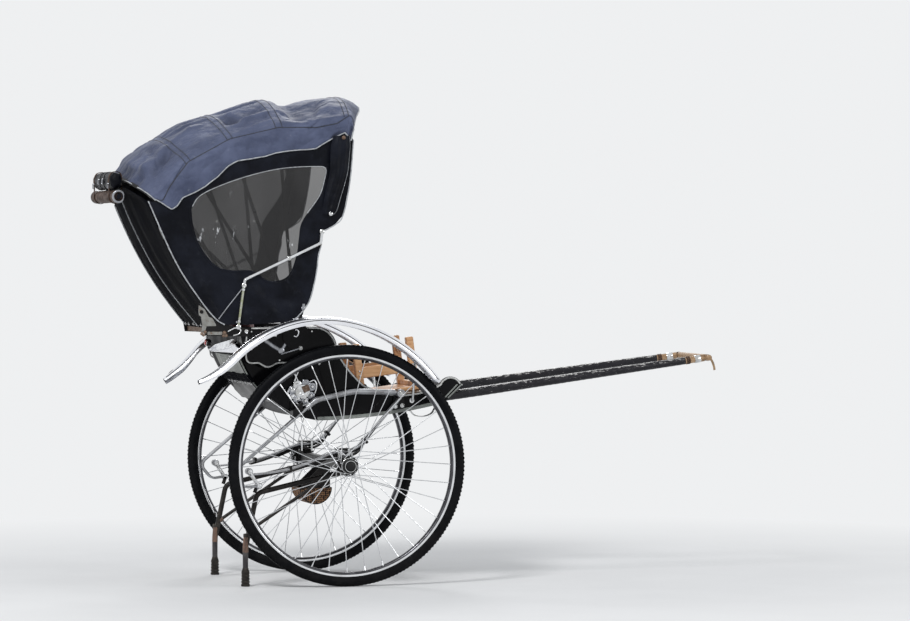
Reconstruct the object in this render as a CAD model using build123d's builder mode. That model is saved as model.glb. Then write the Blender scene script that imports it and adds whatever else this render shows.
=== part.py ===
import os
from math import atan2, cos, pi, radians, sin, sqrt, tan

from build123d import *

os.makedirs("parts", exist_ok=True)

# A pulled rickshaw for two passengers, in millimetres.
# +X is forward, +Y is the vehicle's left, +Z is up, and the ground is at Z = 0.
# Places along X are measured from the axle. Heights are measured from the axle's centre on what the axle carries,
# and from the top of the wheels on the body, whose mudguards clear the wheels.
# Pieces that touch lie SEAT_GAP apart.
SEAT_GAP = 0.3

# Wheels
WHEEL_RADIUS = 550.0
TYRE_HEIGHT = 53.0
TYRE_WIDTH = 42.0
TYRE_BASE_WIDTH = 26.0
RIM_WALL = 4.0
RIM_FLANGE = 8.0
RIM_DEPTH = 13.0
SPOKE_COUNT = 36
SPOKE_RADIUS = 1.9
SPOKE_END_GAP = 0.55
SPOKE_LACING = 70.0
HUB_LENGTH = 112.0
HUB_BARREL_RADIUS = 25.0
FLANGE_RADIUS = 46.0
FLANGE_THICKNESS = 5.0
FLANGE_OFFSET = 30.0
SPOKE_CIRCLE_RADIUS = 39.0
HUB_CAP_RADIUS = 34.0
HUB_CAP_LENGTH = 26.0
HUB_CAP_BEVEL = 12.0

# Axle
STUB_RADIUS = 12.5
STUB_RUNNING_GAP = 0.05
STUB_END_SPACE = 4.0
AXLE_BAR = 38.0
AXLE_CORNER = 5.0
END_PLAY = 1.0

# Widths, from the tub outwards
TUB_HALF_WIDTH = 345.0
WING_REACH = 68.5
WING_HALF_WIDTH = TUB_HALF_WIDTH + WING_REACH
WHEEL_FROM_WING = 61.5
TRACK = 2 * (WING_HALF_WIDTH + WHEEL_FROM_WING)
SPRING_WIDTH = 44.0
EYE_BOSS = 4.0
SPRING_FROM_TUB = 14.0
SPRING_Y = TUB_HALF_WIDTH + SPRING_FROM_TUB + EYE_BOSS + SPRING_WIDTH / 2

# Springs: heights from the axle, apart from the first three points, which are body heights
SPRING_EYE = (271.0, -226.0)
UPPER_FRONT = (50.0, -216.0)
UPPER_CREST = (-125.0, -254.0)
UPPER_SLEEVE_END = -168.0
UPPER_REAR = (-512.0, -30.0)
UPPER_CURL = (-455.0, -98.0)
UPPER_END = (-392.0, -90.0)
REAR_EYE = (-436.0, -25.0)
EYE_RADIUS = 19.0
UPPER_END_RADIUS = 14.0
UPPER_BAR = 15.0
SPRING_BEND = 260.0
CURL_BEND = 34.0
SLEEVE_BEND = 30.0
UPPER_SLEEVE = 28.0
UPPER_SLEEVE_WIDTH = 32.0
LEAF_THICKNESS = 9.0
LEAF_SEAT = 14.0
MAIN_LEAF_BENDS = [150.0, 600.0]
CLAMP_LENGTH = 64.0
CLAMP_HEIGHT = 55.0
CLAMP_MARGIN = 8.0
# front end and rear end of each leaf below the main one, and the drops between the leaves at the clamp
LEAVES = [
    ((150.0, 166.0), (-350.0, -17.0), 11.0, 9.0, (150.0, 600.0)),
    ((104.0, 105.0), (-250.0, -5.0), 22.0, 18.0, (100.0, 400.0)),
]

# Tub, in body heights
PANEL = 14.0
TUB_SKIN = 12.0
ARM_TOP = 80.0
WING_BOTTOM = -88.0
FLOOR_THICKNESS = 14.0
FLOOR_REAR = 96.0
FLOOR_FRONT = 526.0
SEAT_BOARD_TOP = -194.0
SEAT_BOARD_REAR = -346.0
SEAT_RISER_FRONT = 111.0
CUSHION_THICKNESS = 80.0
CUSHION_SIDE_GAP = 4.0
BACK_THICKNESS = 72.0
BACK_LIFT = 4.0
SOFT_GAP = 0.5
TUB_TOP_REAR = (-485.0, ARM_TOP)
TUB_TOP_FRONT = (-120.0, ARM_TOP)
# middle of each arc, or None for a straight run, and its end; the underside runs from the back to the toe
TUB_UNDERSIDE = [
    (None, (-468.0, -37.0)),
    ((-337.0, -238.0), (-108.0, -349.0)),
    ((150.0, -334.0), (432.0, -288.0)),
    (None, (503.0, -260.0)),
    (None, (572.0, -192.0)),
]
TUB_UPPER_EDGE = [
    ((525.0, -154.0), (468.0, -188.0)),
    ((270.0, -232.0), (110.0, -188.0)),
    ((40.0, -115.0), (-30.0, -5.0)),
    ((-62.0, 50.0), TUB_TOP_FRONT),
]
WING_EDGE = [
    (None, (-466.0, -38.0)),
    (None, (-430.0, WING_BOTTOM)),
    (None, (-112.0, WING_BOTTOM)),
    ((-80.0, -48.0), (-34.0, 0.0)),
    ((-62.0, 52.0), TUB_TOP_FRONT),
]
# cushion profile: place along X and height above the seat board
CUSHION_PROFILE = [(-352.0, 0.0), (86.0, 0.0), (76.0, 44.0), (28.0, CUSHION_THICKNESS), (-384.0, CUSHION_THICKNESS)]
SEAT_BACK_REAR = [(-449.8, -37.0), (-472.4, 82.0), (-506.0, 295.0)]
SEAT_BACK_FOOT_X = -421.8

# Shafts
SHAFT_ROOT_RADIUS = 22.5
SHAFT_TIP_RADIUS = 17.0
SHAFT_INSET = 39.0
SHAFT_CLOSING = 91.0
SHAFT_REAR_X = 20.0
SHAFT_BEND_X = 640.0
SHAFT_SLOPE = 7.3
SHAFT_HEIGHT_AT_BEND = -227.5
SHAFT_HOLE_GAP = 0.5
SHAFT_TIP_LENGTH = 112.0
WRAP_THICKNESS = 1.5
FRONT_REACH = 1812.0
CROSSBAR_RADIUS = 15.0
CROSSBAR_OVERHANG = 40.0
CROSSBAR_END_RADIUS = 13.5
CROSSBAR_END_LENGTH = 18.0

# Mudguards: the top of the crown line, in X and above the top of the wheel
GUARD_TOP_X = -110.7
GUARD_TOP_RISE = 128.0
GUARD_WIDTH = 92.0
GUARD_SKIN = 3.5
GUARD_LIP = 34.0
GUARD_TAIL_RADIUS = 374.0
GUARD_TAIL_TURN = 30.0
GUARD_REAR_TURN = 44.0
GUARD_MIDDLE_RADIUS = WHEEL_RADIUS + 56.0
GUARD_MIDDLE_TURN = 12.0
GUARD_FRONT_RADIUS = WHEEL_RADIUS + 146.0
GUARD_FRONT_TURN = 43.0
GUARD_TAB_PLACES = (-420.0, -330.0)
GUARD_TAB_WIDTH = 30.0
GUARD_TAB_HEIGHT = 22.0
GUARD_STAY_RADIUS = 6.0
GUARD_STAY_FOOT = (335.0, -262.0)

# Hood, in body heights
PIVOT = (-224.0, 40.0)
PIVOT_PLATE_RADIUS = 62.0
BOW_WIDTH = 14.0
BOW_THICKNESS = 8.0
CANVAS = 2.5
CANVAS_GAP = 0.4
COVER_GAP = 3.9
COVER_STEPS = 4
ARCH_CORNER = 55.0
SHEET_DROP = 6.0
HOOD_HALF_WIDTH = WING_HALF_WIDTH + SEAT_GAP + BOW_THICKNESS / 2
# name, angle from forward, reach to the shoulder and to the crown, depth of the cover's flap
BOWS = [
    ("hood_bow_rear", 136.6, 923.0, 1050.0, 30.0),
    ("hood_bow_rear_middle", 122.4, 938.0, 1060.0, 110.0),
    ("hood_bow_middle", 108.9, 939.0, 1056.0, 115.0),
    ("hood_bow_front_middle", 95.0, 946.0, 1078.0, 95.0),
    ("hood_bow_front", 76.2, 1019.0, 1122.0, 55.0),
]
# the cover's stiffened front edge stands ahead of the front bow
FRONT_LIP = (71.4, 1050.0, 1126.0, 62.0)
SHEET_FRONT_EDGE = [(0.0, 984.0), (36.0, 925.0), (24.0, 748.0), (-8.0, 588.0), (-88.0, 540.0),
                    (-128.0, 500.0), (-122.0, 400.0), (-130.0, 330.0), (-160.0, 205.0), (-205.0, 140.0)]
SHEET_REAR_EDGE = [(-246.0, 104.0), (-440.0, 92.0), (-556.0, 92.0), (-668.0, 205.0), (-780.0, 376.0),
                   (-900.0, 640.0)]
WINDOW_OUTLINE = [(-706.0, 590.0), (-660.0, 675.0), (-485.0, 755.0), (-300.0, 806.0), (-88.0, 800.0),
                  (-110.0, 690.0), (-200.0, 560.0), (-222.0, 430.0), (-278.0, 294.0), (-380.0, 280.0),
                  (-470.0, 340.0), (-590.0, 350.0), (-680.0, 460.0)]
WINDOW_CORNER = 18.0
CURTAIN_FOOT = (-563.5, 69.4)
CURTAIN_LEAN = 59.1
CURTAIN_SIDE = 674.0
CURTAIN_CROWN = 762.0
ROLL_CENTRE = (-1015.0, 672.0)
ROLL_RADIUS = 30.0
ROLL_HALF_LENGTH = 285.0
STRAP_Y = 190.0
STRAP_WIDTH = 26.0
STRAP_THICKNESS = 4.0

# Rear rail and its base plates, the rear lamp and the hood's folding stays, in body heights
RAIL_PLACE = (-548.0, 58.0)
RAIL_DEPTH = 30.0
RAIL_HEIGHT = 22.0
PLATE_THICKNESS = 8.0
BASE_OUTLINE = [(-645.0, 44.0), (-440.0, 38.0), (-440.0, 72.0), (-560.0, 96.0), (-585.0, 106.0), (-666.0, 190.0),
                (-652.0, 80.0)]
LAMP_PLACE = (-554.0, 1.0)
LAMP_Y = 20.0
LAMP_RADIUS = 17.0
LAMP_DEPTH = 26.0
TAB_WIDTH = 24.0
TAB_THICKNESS = 5.0
STAY_RADIUS = 6.5
STAY_KNOB_RADIUS = 11.0
STAY_OFFSET = 15.2
STAY_POINTS = [(-106.0, 512.0), (-112.0, 461.0), (-464.0, 296.0), (-494.0, 82.0)]
STAY_KNOBS = [(-259.0, 392.0), (-468.0, 270.0)]
STAY_BENDS = [20.0, 16.0]

# Stand, in axle heights
STAND_FROM_SPRING = 35.0
STAND_Y = SPRING_Y - STAND_FROM_SPRING
STAND_TUBE = 15.0
TUBE_SIDES = 12
STAND_BRACE = 9.0
STAND_REACH = 445.0
STAND_FRONT = 24.0
STAND_UNDER_AXLE = (-52.0, -14.0)
STAND_CORNER = (-392.0, -126.0)
STAND_KNEE = -380.0
STAND_BENDS = [60.0, 42.0, 120.0]
BRACE_LOW = (14.0, -300.0)
BRACE_HIGH = (-40.0, -6.0)
SHACKLE_THICKNESS = 4.4
SHACKLE_WIDTH = 26.0
FOOT_RADIUS = 21.0
FOOT_HEIGHT = 78.0

# Basket under the middle of the axle, in axle heights
BASKET_PLACE = (-58.0, -122.0)
BASKET_RADIUS = 76.0
BASKET_HALF_LENGTH = 90.0
GUSSET_Y = 60.0
GUSSET_THICKNESS = 4.0
GUSSET_HALF_WIDTH = 16.0
GUSSET_TAIL = -120.0

# Brackets between the tub and the springs, from the spring's eye and in body heights
EYE_BRACKET = [(-31.0, -79.0), (31.0, -68.0), (21.0, 0.0), (-21.0, 0.0)]
SEAT_BRACKET_REAR = -236.0
SEAT_BRACKET_FRONT = -190.0
SEAT_BRACKET_TOP = -185.0
SEAT_BRACKET_DEPTH = 38.0

# Boarding stool, carried upside down on the floor
STOOL_Y = -45.0
STOOL_LENGTH = 300.0
STOOL_WIDTH = 310.0
STOOL_BOARD = 22.0
STOOL_CORNER = 12.0
STOOL_LEG = 34.0
STOOL_LEG_INSET = 5.0
STOOL_HEIGHT = 250.0
STOOL_RAIL_HEIGHT = 52.0
STOOL_RAIL_THICKNESS = 18.0
STOOL_RAIL_LIFT = 88.0
STOOL_FROM_RISER = 4.5

REAR_REACH = -ROLL_CENTRE[0] + ROLL_RADIUS + SEAT_GAP + STRAP_THICKNESS
AXLE_X = (REAR_REACH - FRONT_REACH) / 2
BODY_DATUM = 2 * WHEEL_RADIUS
BODY_OVER_AXLE = BODY_DATUM - WHEEL_RADIUS


def side_plane(y, height=0.0):
    # local x is forward of the axle, local y is up from a height, and the normal points to the right side
    return Plane(origin=(AXLE_X, y, height), x_dir=(1, 0, 0), z_dir=(0, -1, 0))


def axle_plane(y):
    return side_plane(y, WHEEL_RADIUS)


def body_plane(y):
    return side_plane(y, BODY_DATUM)


def body_place(x, y, height):
    return Vector(AXLE_X + x, y, BODY_DATUM + height)


def axle_place(x, y, height):
    return Vector(AXLE_X + x, y, WHEEL_RADIUS + height)


def from_body(point):
    # a point in body heights, in axle heights
    return (point[0], point[1] + BODY_OVER_AXLE)


def draw_runs(start, rows):
    # straight runs and arcs, one after the other, from a table of middles and ends
    for middle, end in rows:
        if middle is None:
            Line(start, end)
        else:
            ThreePointArc(start, middle, end)
        start = end


def save(builder, name):
    builder.part.label = name
    export_step(builder.part, f"parts/{name}.step")


def save_both_sides(builder, name):
    # the piece is modelled on the right and mirrored to the left
    save(builder, f"{name}_right")
    with BuildPart() as left:
        mirror(builder.part, about=Plane.XZ)
    save(left, f"{name}_left")


# Wheels: local x of the section plane is outward from the wheel's middle and local y is the radius
RIGHT_WHEEL = Plane(origin=(AXLE_X, -TRACK / 2, WHEEL_RADIUS), x_dir=(0, -1, 0), z_dir=(-1, 0, 0))
RIGHT_AXIS = Axis((AXLE_X, -TRACK / 2, WHEEL_RADIUS), (0, 1, 0))
rim_seat = WHEEL_RADIUS - TYRE_HEIGHT
rim_edge = rim_seat + RIM_FLANGE
rim_inner = rim_seat - RIM_DEPTH

with BuildPart() as tyre:
    half_base = TYRE_BASE_WIDTH / 2
    half_width = TYRE_WIDTH / 2
    bulge = (rim_edge + WHEEL_RADIUS) / 2
    side = [(half_base, rim_seat), (half_base, rim_edge + 1), (half_width, bulge), (half_width * 0.45, WHEEL_RADIUS)]
    other_side = [(-x, radius) for x, radius in reversed(side)]
    with BuildSketch(RIGHT_WHEEL):
        with BuildLine():
            Polyline(*side, *other_side, close=True)
        make_face()
    revolve(axis=RIGHT_AXIS)
save_both_sides(tyre, "tyre")

with BuildPart() as rim:
    bead_half = TYRE_BASE_WIDTH / 2 + SEAT_GAP
    rim_half = bead_half + RIM_WALL
    rim_bed = rim_seat - SEAT_GAP
    side = [(bead_half, rim_bed), (bead_half, rim_edge), (rim_half, rim_edge), (rim_half * 0.55, rim_inner)]
    other_side = [(-x, radius) for x, radius in reversed(side)]
    with BuildSketch(RIGHT_WHEEL):
        with BuildLine():
            Polyline(*side, *other_side, close=True)
        make_face()
    revolve(axis=RIGHT_AXIS)
save_both_sides(rim, "rim")

# Spokes: four sets, heads outside or inside of each flange, leading or trailing, that cross without touching
flange_face = FLANGE_THICKNESS / 2 + SPOKE_RADIUS
SPOKE_SETS = [
    # turn direction, offset of the hub end, offset of the rim end
    (1, FLANGE_OFFSET + flange_face + 1.3, 6.5),
    (1, -FLANGE_OFFSET + flange_face + 0.3, -2.2),
    (-1, FLANGE_OFFSET - flange_face - 0.3, 2.2),
    (-1, -FLANGE_OFFSET - flange_face - 1.3, -6.5),
]
with BuildPart() as spokes:
    for index in range(SPOKE_COUNT):
        turn, hub_offset, rim_offset = SPOKE_SETS[index % len(SPOKE_SETS)]
        rim_angle = radians(index * 360 / SPOKE_COUNT)
        hub_angle = rim_angle - turn * radians(SPOKE_LACING)
        rim_reach = rim_inner - SPOKE_END_GAP
        start = axle_place(SPOKE_CIRCLE_RADIUS * sin(hub_angle), -TRACK / 2 - hub_offset,
                           SPOKE_CIRCLE_RADIUS * cos(hub_angle))
        end = axle_place(rim_reach * sin(rim_angle), -TRACK / 2 - rim_offset, rim_reach * cos(rim_angle))
        with BuildSketch(Plane(origin=start, z_dir=end - start)):
            RegularPolygon(SPOKE_RADIUS, 6)
        extrude(amount=(end - start).length)
save_both_sides(spokes, "spokes")

with BuildPart() as hub:
    hub_half = HUB_LENGTH / 2
    bore_radius = STUB_RADIUS + STUB_RUNNING_GAP
    bore_end = hub_half + STUB_END_SPACE
    cap_end = hub_half + HUB_CAP_LENGTH
    outer_flange = FLANGE_OFFSET + FLANGE_THICKNESS / 2
    inner_flange = FLANGE_OFFSET - FLANGE_THICKNESS / 2
    with BuildSketch(RIGHT_WHEEL):
        with BuildLine():
            Polyline((bore_end, 0), (bore_end, bore_radius), (-hub_half, bore_radius),
                     (-hub_half, HUB_BARREL_RADIUS), (-outer_flange, HUB_BARREL_RADIUS),
                     (-outer_flange, FLANGE_RADIUS), (-inner_flange, FLANGE_RADIUS),
                     (-inner_flange, HUB_BARREL_RADIUS), (inner_flange, HUB_BARREL_RADIUS),
                     (inner_flange, FLANGE_RADIUS), (outer_flange, FLANGE_RADIUS),
                     (outer_flange, HUB_CAP_RADIUS), (cap_end - HUB_CAP_BEVEL, HUB_CAP_RADIUS),
                     (cap_end, HUB_CAP_RADIUS - HUB_CAP_BEVEL), (cap_end, 0), (bore_end, 0))
        make_face()
    revolve(axis=RIGHT_AXIS)
save_both_sides(hub, "hub")

with BuildPart() as axle:
    shoulder_y = TRACK / 2 - hub_half - END_PLAY
    with BuildSketch(Plane(origin=(AXLE_X, 0, WHEEL_RADIUS), z_dir=(0, -1, 0))):
        RectangleRounded(AXLE_BAR, AXLE_BAR, AXLE_CORNER)
    extrude(amount=shoulder_y, both=True)
    with BuildSketch(Plane(origin=(AXLE_X, 0, WHEEL_RADIUS), z_dir=(0, -1, 0))):
        Circle(STUB_RADIUS)
    extrude(amount=TRACK / 2 + hub_half, both=True)
    # two gussets carry the basket
    for y in (-GUSSET_Y, GUSSET_Y):
        gusset_top = -AXLE_BAR / 2 + AXLE_CORNER
        basket_top = BASKET_PLACE[1] + SEAT_GAP
        with BuildSketch(axle_plane(y)):
            with BuildLine():
                Polyline((-GUSSET_HALF_WIDTH, gusset_top), (GUSSET_HALF_WIDTH, gusset_top),
                         (GUSSET_HALF_WIDTH, basket_top), (GUSSET_TAIL, basket_top), (GUSSET_TAIL, basket_top + 8),
                         (-GUSSET_HALF_WIDTH, gusset_top))
            make_face()
        extrude(amount=GUSSET_THICKNESS / 2, both=True)
save(axle, "axle")

with BuildPart() as basket:
    with BuildSketch(axle_plane(0)):
        with BuildLine():
            rim_front = (BASKET_PLACE[0] + BASKET_RADIUS, BASKET_PLACE[1])
            rim_rear = (BASKET_PLACE[0] - BASKET_RADIUS, BASKET_PLACE[1])
            ThreePointArc(rim_front, (BASKET_PLACE[0], BASKET_PLACE[1] - BASKET_RADIUS), rim_rear)
            Line(rim_rear, rim_front)
        make_face()
    extrude(amount=BASKET_HALF_LENGTH, both=True)
save(basket, "basket")

# Springs: an upper bar with a sleeve at the front that curls round at the rear, and a leaf pack over the axle
eye = from_body(SPRING_EYE)
upper_front = from_body(UPPER_FRONT)
upper_crest = from_body(UPPER_CREST)
spring_slope = (upper_crest[1] - UPPER_REAR[1]) / (upper_crest[0] - UPPER_REAR[0])
sleeve_end = (UPPER_SLEEVE_END, upper_crest[1] + (UPPER_SLEEVE_END - upper_crest[0]) * spring_slope)
with BuildPart() as upper_spring:
    eye_face = (eye[0] - EYE_RADIUS - SEAT_GAP, eye[1] + 4)
    with BuildSketch(axle_plane(-SPRING_Y)):
        with BuildLine():
            FilletPolyline(eye_face, upper_front, upper_crest, UPPER_REAR, UPPER_CURL, UPPER_END,
                           radius=[SPRING_BEND, SPRING_BEND, CURL_BEND, CURL_BEND])
        trace(line_width=UPPER_BAR)
    extrude(amount=SPRING_WIDTH / 2, both=True)
    with BuildSketch(axle_plane(-SPRING_Y)):
        with BuildLine():
            FilletPolyline((eye_face[0] - 4, eye_face[1]), upper_front, upper_crest, sleeve_end, radius=[SPRING_BEND, SLEEVE_BEND])
        trace(line_width=UPPER_SLEEVE)
    extrude(amount=UPPER_SLEEVE_WIDTH / 2, both=True)
    with BuildSketch(axle_plane(-SPRING_Y)):
        with Locations(UPPER_END):
            Circle(UPPER_END_RADIUS)
    extrude(amount=SPRING_WIDTH / 2 + EYE_BOSS, both=True)
save_both_sides(upper_spring, "upper_spring")

axle_top = AXLE_BAR / 2
main_leaf = axle_top + LEAF_SEAT + LEAF_THICKNESS * 2.5
with BuildPart() as leaf_spring:
    with BuildSketch(axle_plane(-SPRING_Y)):
        with BuildLine():
            FilletPolyline(eye, (62, main_leaf + 8), (-70, main_leaf), (REAR_EYE[0], REAR_EYE[1] + 5),
                           radius=MAIN_LEAF_BENDS)
        trace(line_width=LEAF_THICKNESS)
        for front, rear, front_drop, rear_drop, bends in LEAVES:
            with BuildLine():
                FilletPolyline(front, (62, main_leaf + 8 - front_drop), (-70, main_leaf - rear_drop), rear,
                               radius=list(bends))
            trace(line_width=LEAF_THICKNESS)
    extrude(amount=SPRING_WIDTH / 2, both=True)
    with BuildSketch(axle_plane(-SPRING_Y)):
        with Locations(eye, REAR_EYE):
            Circle(EYE_RADIUS)
    extrude(amount=SPRING_WIDTH / 2 + EYE_BOSS, both=True)
    with BuildSketch(axle_plane(-SPRING_Y)):
        with Locations((0, axle_top + SEAT_GAP + CLAMP_HEIGHT / 2)):
            Rectangle(CLAMP_LENGTH, CLAMP_HEIGHT)
    extrude(amount=SPRING_WIDTH / 2 + CLAMP_MARGIN, both=True)
save_both_sides(leaf_spring, "leaf_spring")

# Brackets that carry the tub on the springs: a plate at the front eye and a seat on the upper spring
half_bar_rise = (UPPER_BAR / 2 + SEAT_GAP) * sqrt(1 + spring_slope**2)


def upper_spring_top(x):
    return upper_crest[1] + (x - upper_crest[0]) * spring_slope + half_bar_rise


with BuildPart() as spring_hanger:
    plate_thickness = SPRING_FROM_TUB - 2 * SEAT_GAP
    plate_top = SEAT_BRACKET_TOP + BODY_OVER_AXLE
    seat_rear = (SEAT_BRACKET_REAR, upper_spring_top(SEAT_BRACKET_REAR))
    seat_front = (SEAT_BRACKET_FRONT, upper_spring_top(SEAT_BRACKET_FRONT))
    with BuildSketch(axle_plane(-TUB_HALF_WIDTH - SEAT_GAP)):
        with BuildLine():
            Polyline(*[(eye[0] + x, eye[1] + z) for x, z in EYE_BRACKET], close=True)
        make_face()
        with Locations(eye):
            Circle(EYE_RADIUS)
        with BuildLine():
            Polyline(seat_rear, seat_front, (SEAT_BRACKET_FRONT, plate_top), (SEAT_BRACKET_REAR, plate_top),
                     close=True)
        make_face()
    extrude(amount=plate_thickness)
    with BuildSketch(axle_plane(-TUB_HALF_WIDTH - SEAT_GAP)):
        with BuildLine():
            Polyline(seat_rear, seat_front, (SEAT_BRACKET_FRONT, seat_front[1] + SEAT_BRACKET_DEPTH),
                     (SEAT_BRACKET_REAR, seat_rear[1] + SEAT_BRACKET_DEPTH), close=True)
        make_face()
    extrude(amount=SPRING_FROM_TUB + EYE_BOSS + SPRING_WIDTH)
save_both_sides(spring_hanger, "spring_hanger")

# Stand: a braced leg behind each end of the axle, shackled to the springs, on a rubber foot
with BuildPart() as stand:
    leg_top = -AXLE_BAR / 2 - STAND_TUBE - SEAT_GAP
    foot_middle = FOOT_HEIGHT / 2 - WHEEL_RADIUS
    with BuildLine(axle_plane(-STAND_Y)) as leg_line:
        FilletPolyline((STAND_FRONT, leg_top), (STAND_UNDER_AXLE[0], leg_top + STAND_UNDER_AXLE[1]), STAND_CORNER,
                       (-STAND_REACH, STAND_KNEE), (-STAND_REACH, foot_middle), radius=STAND_BENDS)
    with BuildSketch(Plane(origin=leg_line.line @ 0, z_dir=leg_line.line % 0)):
        RegularPolygon(STAND_TUBE, TUBE_SIDES)
    sweep()
    brace_low = axle_place(BRACE_LOW[0] - STAND_REACH, -STAND_Y, BRACE_LOW[1])
    brace_high = axle_place(BRACE_HIGH[0], -STAND_Y, leg_top + BRACE_HIGH[1])
    with BuildSketch(Plane(origin=brace_low, z_dir=brace_high - brace_low)):
        Circle(STAND_BRACE)
    extrude(amount=(brace_high - brace_low).length)
    with BuildSketch(axle_plane(-SPRING_Y + SPRING_WIDTH / 2 + EYE_BOSS + SEAT_GAP)):
        for place, radius in ((REAR_EYE, EYE_RADIUS), (UPPER_END, UPPER_END_RADIUS)):
            with Locations(place):
                Circle(radius)
        with BuildLine():
            Polyline(REAR_EYE, UPPER_END, (UPPER_END[0] - 12, STAND_CORNER[1] + 4))
        trace(line_width=SHACKLE_WIDTH)
    extrude(amount=-SHACKLE_THICKNESS)
save_both_sides(stand, "stand")

with BuildPart() as foot:
    with BuildSketch(Plane(origin=(AXLE_X - STAND_REACH, -STAND_Y, 0))):
        Circle(FOOT_RADIUS)
    extrude(amount=FOOT_HEIGHT)
    with BuildSketch(Plane(origin=(AXLE_X - STAND_REACH, -STAND_Y, FOOT_HEIGHT / 2))):
        Circle(STAND_TUBE + SEAT_GAP)
    extrude(amount=FOOT_HEIGHT, mode=Mode.SUBTRACT)
save_both_sides(foot, "foot")

# Tub: two side panels, one bent skin for back, belly and toe, a floor and a seat box
inner_half = TUB_HALF_WIDTH - PANEL
board_half = inner_half - SEAT_GAP
cushion_half = inner_half - CUSHION_SIDE_GAP
with BuildSketch(Plane.XY) as tub_outline:
    with BuildLine():
        draw_runs(TUB_TOP_REAR, TUB_UNDERSIDE + TUB_UPPER_EDGE)
        Line(TUB_TOP_FRONT, TUB_TOP_REAR)
    make_face()

with BuildPart() as side_panel:
    with BuildSketch(body_plane(-TUB_HALF_WIDTH)):
        add(tub_outline.sketch)
    extrude(amount=-PANEL)
save_both_sides(side_panel, "side_panel")

with BuildPart() as wing:
    with BuildSketch(body_plane(-TUB_HALF_WIDTH)):
        with BuildLine():
            draw_runs(TUB_TOP_REAR, WING_EDGE)
            Line(TUB_TOP_FRONT, TUB_TOP_REAR)
        make_face()
    extrude(amount=WING_REACH)
save_both_sides(wing, "wing")

# Shafts: straight under the floor, then closing in to the crossbar
shaft_rise = tan(radians(SHAFT_SLOPE))
shaft_root_y = TUB_HALF_WIDTH - SHAFT_INSET
shaft_tip_y = shaft_root_y - SHAFT_CLOSING
crossbar_x = FRONT_REACH - CROSSBAR_RADIUS


def shaft_height(x):
    return SHAFT_HEIGHT_AT_BEND + (x - SHAFT_BEND_X) * shaft_rise


def shaft_share(x):
    # how far a place lies from the bend towards the crossbar, from 0 to 1
    return max(0.0, (x - SHAFT_BEND_X) / (crossbar_x - SHAFT_BEND_X))


def shaft_radius(x):
    return SHAFT_ROOT_RADIUS + (SHAFT_TIP_RADIUS - SHAFT_ROOT_RADIUS) * shaft_share(x)


def shaft_section(x, side=-1):
    y = side * (shaft_root_y - SHAFT_CLOSING * shaft_share(x))
    return Plane(origin=body_place(x, y, shaft_height(x)), z_dir=(1, 0, shaft_rise))


wrap_end = crossbar_x - SHAFT_TIP_LENGTH
with BuildPart() as shaft:
    for x in (SHAFT_REAR_X, SHAFT_BEND_X, wrap_end):
        with BuildSketch(shaft_section(x)):
            Circle(shaft_radius(x))
    loft(ruled=True)
save_both_sides(shaft, "shaft")

with BuildPart() as shaft_tip:
    for x in (wrap_end, crossbar_x - CROSSBAR_RADIUS - SEAT_GAP):
        with BuildSketch(shaft_section(x)):
            Circle(shaft_radius(x) - WRAP_THICKNESS)
    loft(ruled=True)
save_both_sides(shaft_tip, "shaft_tip")

with BuildPart() as crossbar:
    bar_half = shaft_tip_y + CROSSBAR_OVERHANG
    with BuildSketch(Plane(origin=body_place(crossbar_x, 0, shaft_height(crossbar_x)), z_dir=(0, 1, 0))):
        Circle(CROSSBAR_RADIUS)
    extrude(amount=bar_half - CROSSBAR_END_LENGTH, both=True)
    with BuildSketch(Plane(origin=body_place(crossbar_x, 0, shaft_height(crossbar_x)), z_dir=(0, 1, 0))):
        Circle(CROSSBAR_END_RADIUS)
    extrude(amount=bar_half, both=True)
save(crossbar, "crossbar")

with BuildPart() as tub_skin:
    with BuildSketch(body_plane(0)):
        with BuildLine():
            draw_runs(TUB_TOP_REAR, TUB_UNDERSIDE)
        trace(line_width=2 * TUB_SKIN)
        add(tub_outline.sketch, mode=Mode.INTERSECT)
    extrude(amount=inner_half, both=True)
    # holes that the shafts pass through
    for side in (-1, 1):
        with BuildSketch(shaft_section(SHAFT_BEND_X, side)):
            Circle(SHAFT_ROOT_RADIUS + SHAFT_HOLE_GAP)
        extrude(amount=-(SHAFT_BEND_X - SHAFT_REAR_X) * 0.55, mode=Mode.SUBTRACT)
save(tub_skin, "tub_skin")

# Floor and seat box, carried on the shafts
slope = radians(SHAFT_SLOPE)
floor_low = (SHAFT_ROOT_RADIUS + SEAT_GAP) / cos(slope)
floor_top = floor_low + FLOOR_THICKNESS / cos(slope)
with BuildPart() as floor_board:
    with BuildSketch(body_plane(0)):
        with BuildLine():
            Polyline((FLOOR_REAR, shaft_height(FLOOR_REAR) + floor_low),
                     (FLOOR_FRONT, shaft_height(FLOOR_FRONT) + floor_low),
                     (FLOOR_FRONT, shaft_height(FLOOR_FRONT) + floor_top),
                     (FLOOR_REAR, shaft_height(FLOOR_REAR) + floor_top), close=True)
        make_face()
    extrude(amount=board_half, both=True)
save(floor_board, "floor_board")

with BuildPart() as seat_box:
    board_low = SEAT_BOARD_TOP - PANEL
    riser_rear = SEAT_RISER_FRONT - PANEL
    riser_foot = shaft_height(SEAT_RISER_FRONT) + floor_top + SEAT_GAP
    with BuildSketch(body_plane(0)):
        with BuildLine():
            Polyline((SEAT_RISER_FRONT, riser_foot), (SEAT_RISER_FRONT, SEAT_BOARD_TOP),
                     (SEAT_BOARD_REAR, SEAT_BOARD_TOP), (SEAT_BOARD_REAR, board_low), (riser_rear, board_low),
                     (riser_rear, riser_foot), close=True)
        make_face()
    extrude(amount=board_half, both=True)
save(seat_box, "seat_box")

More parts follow.
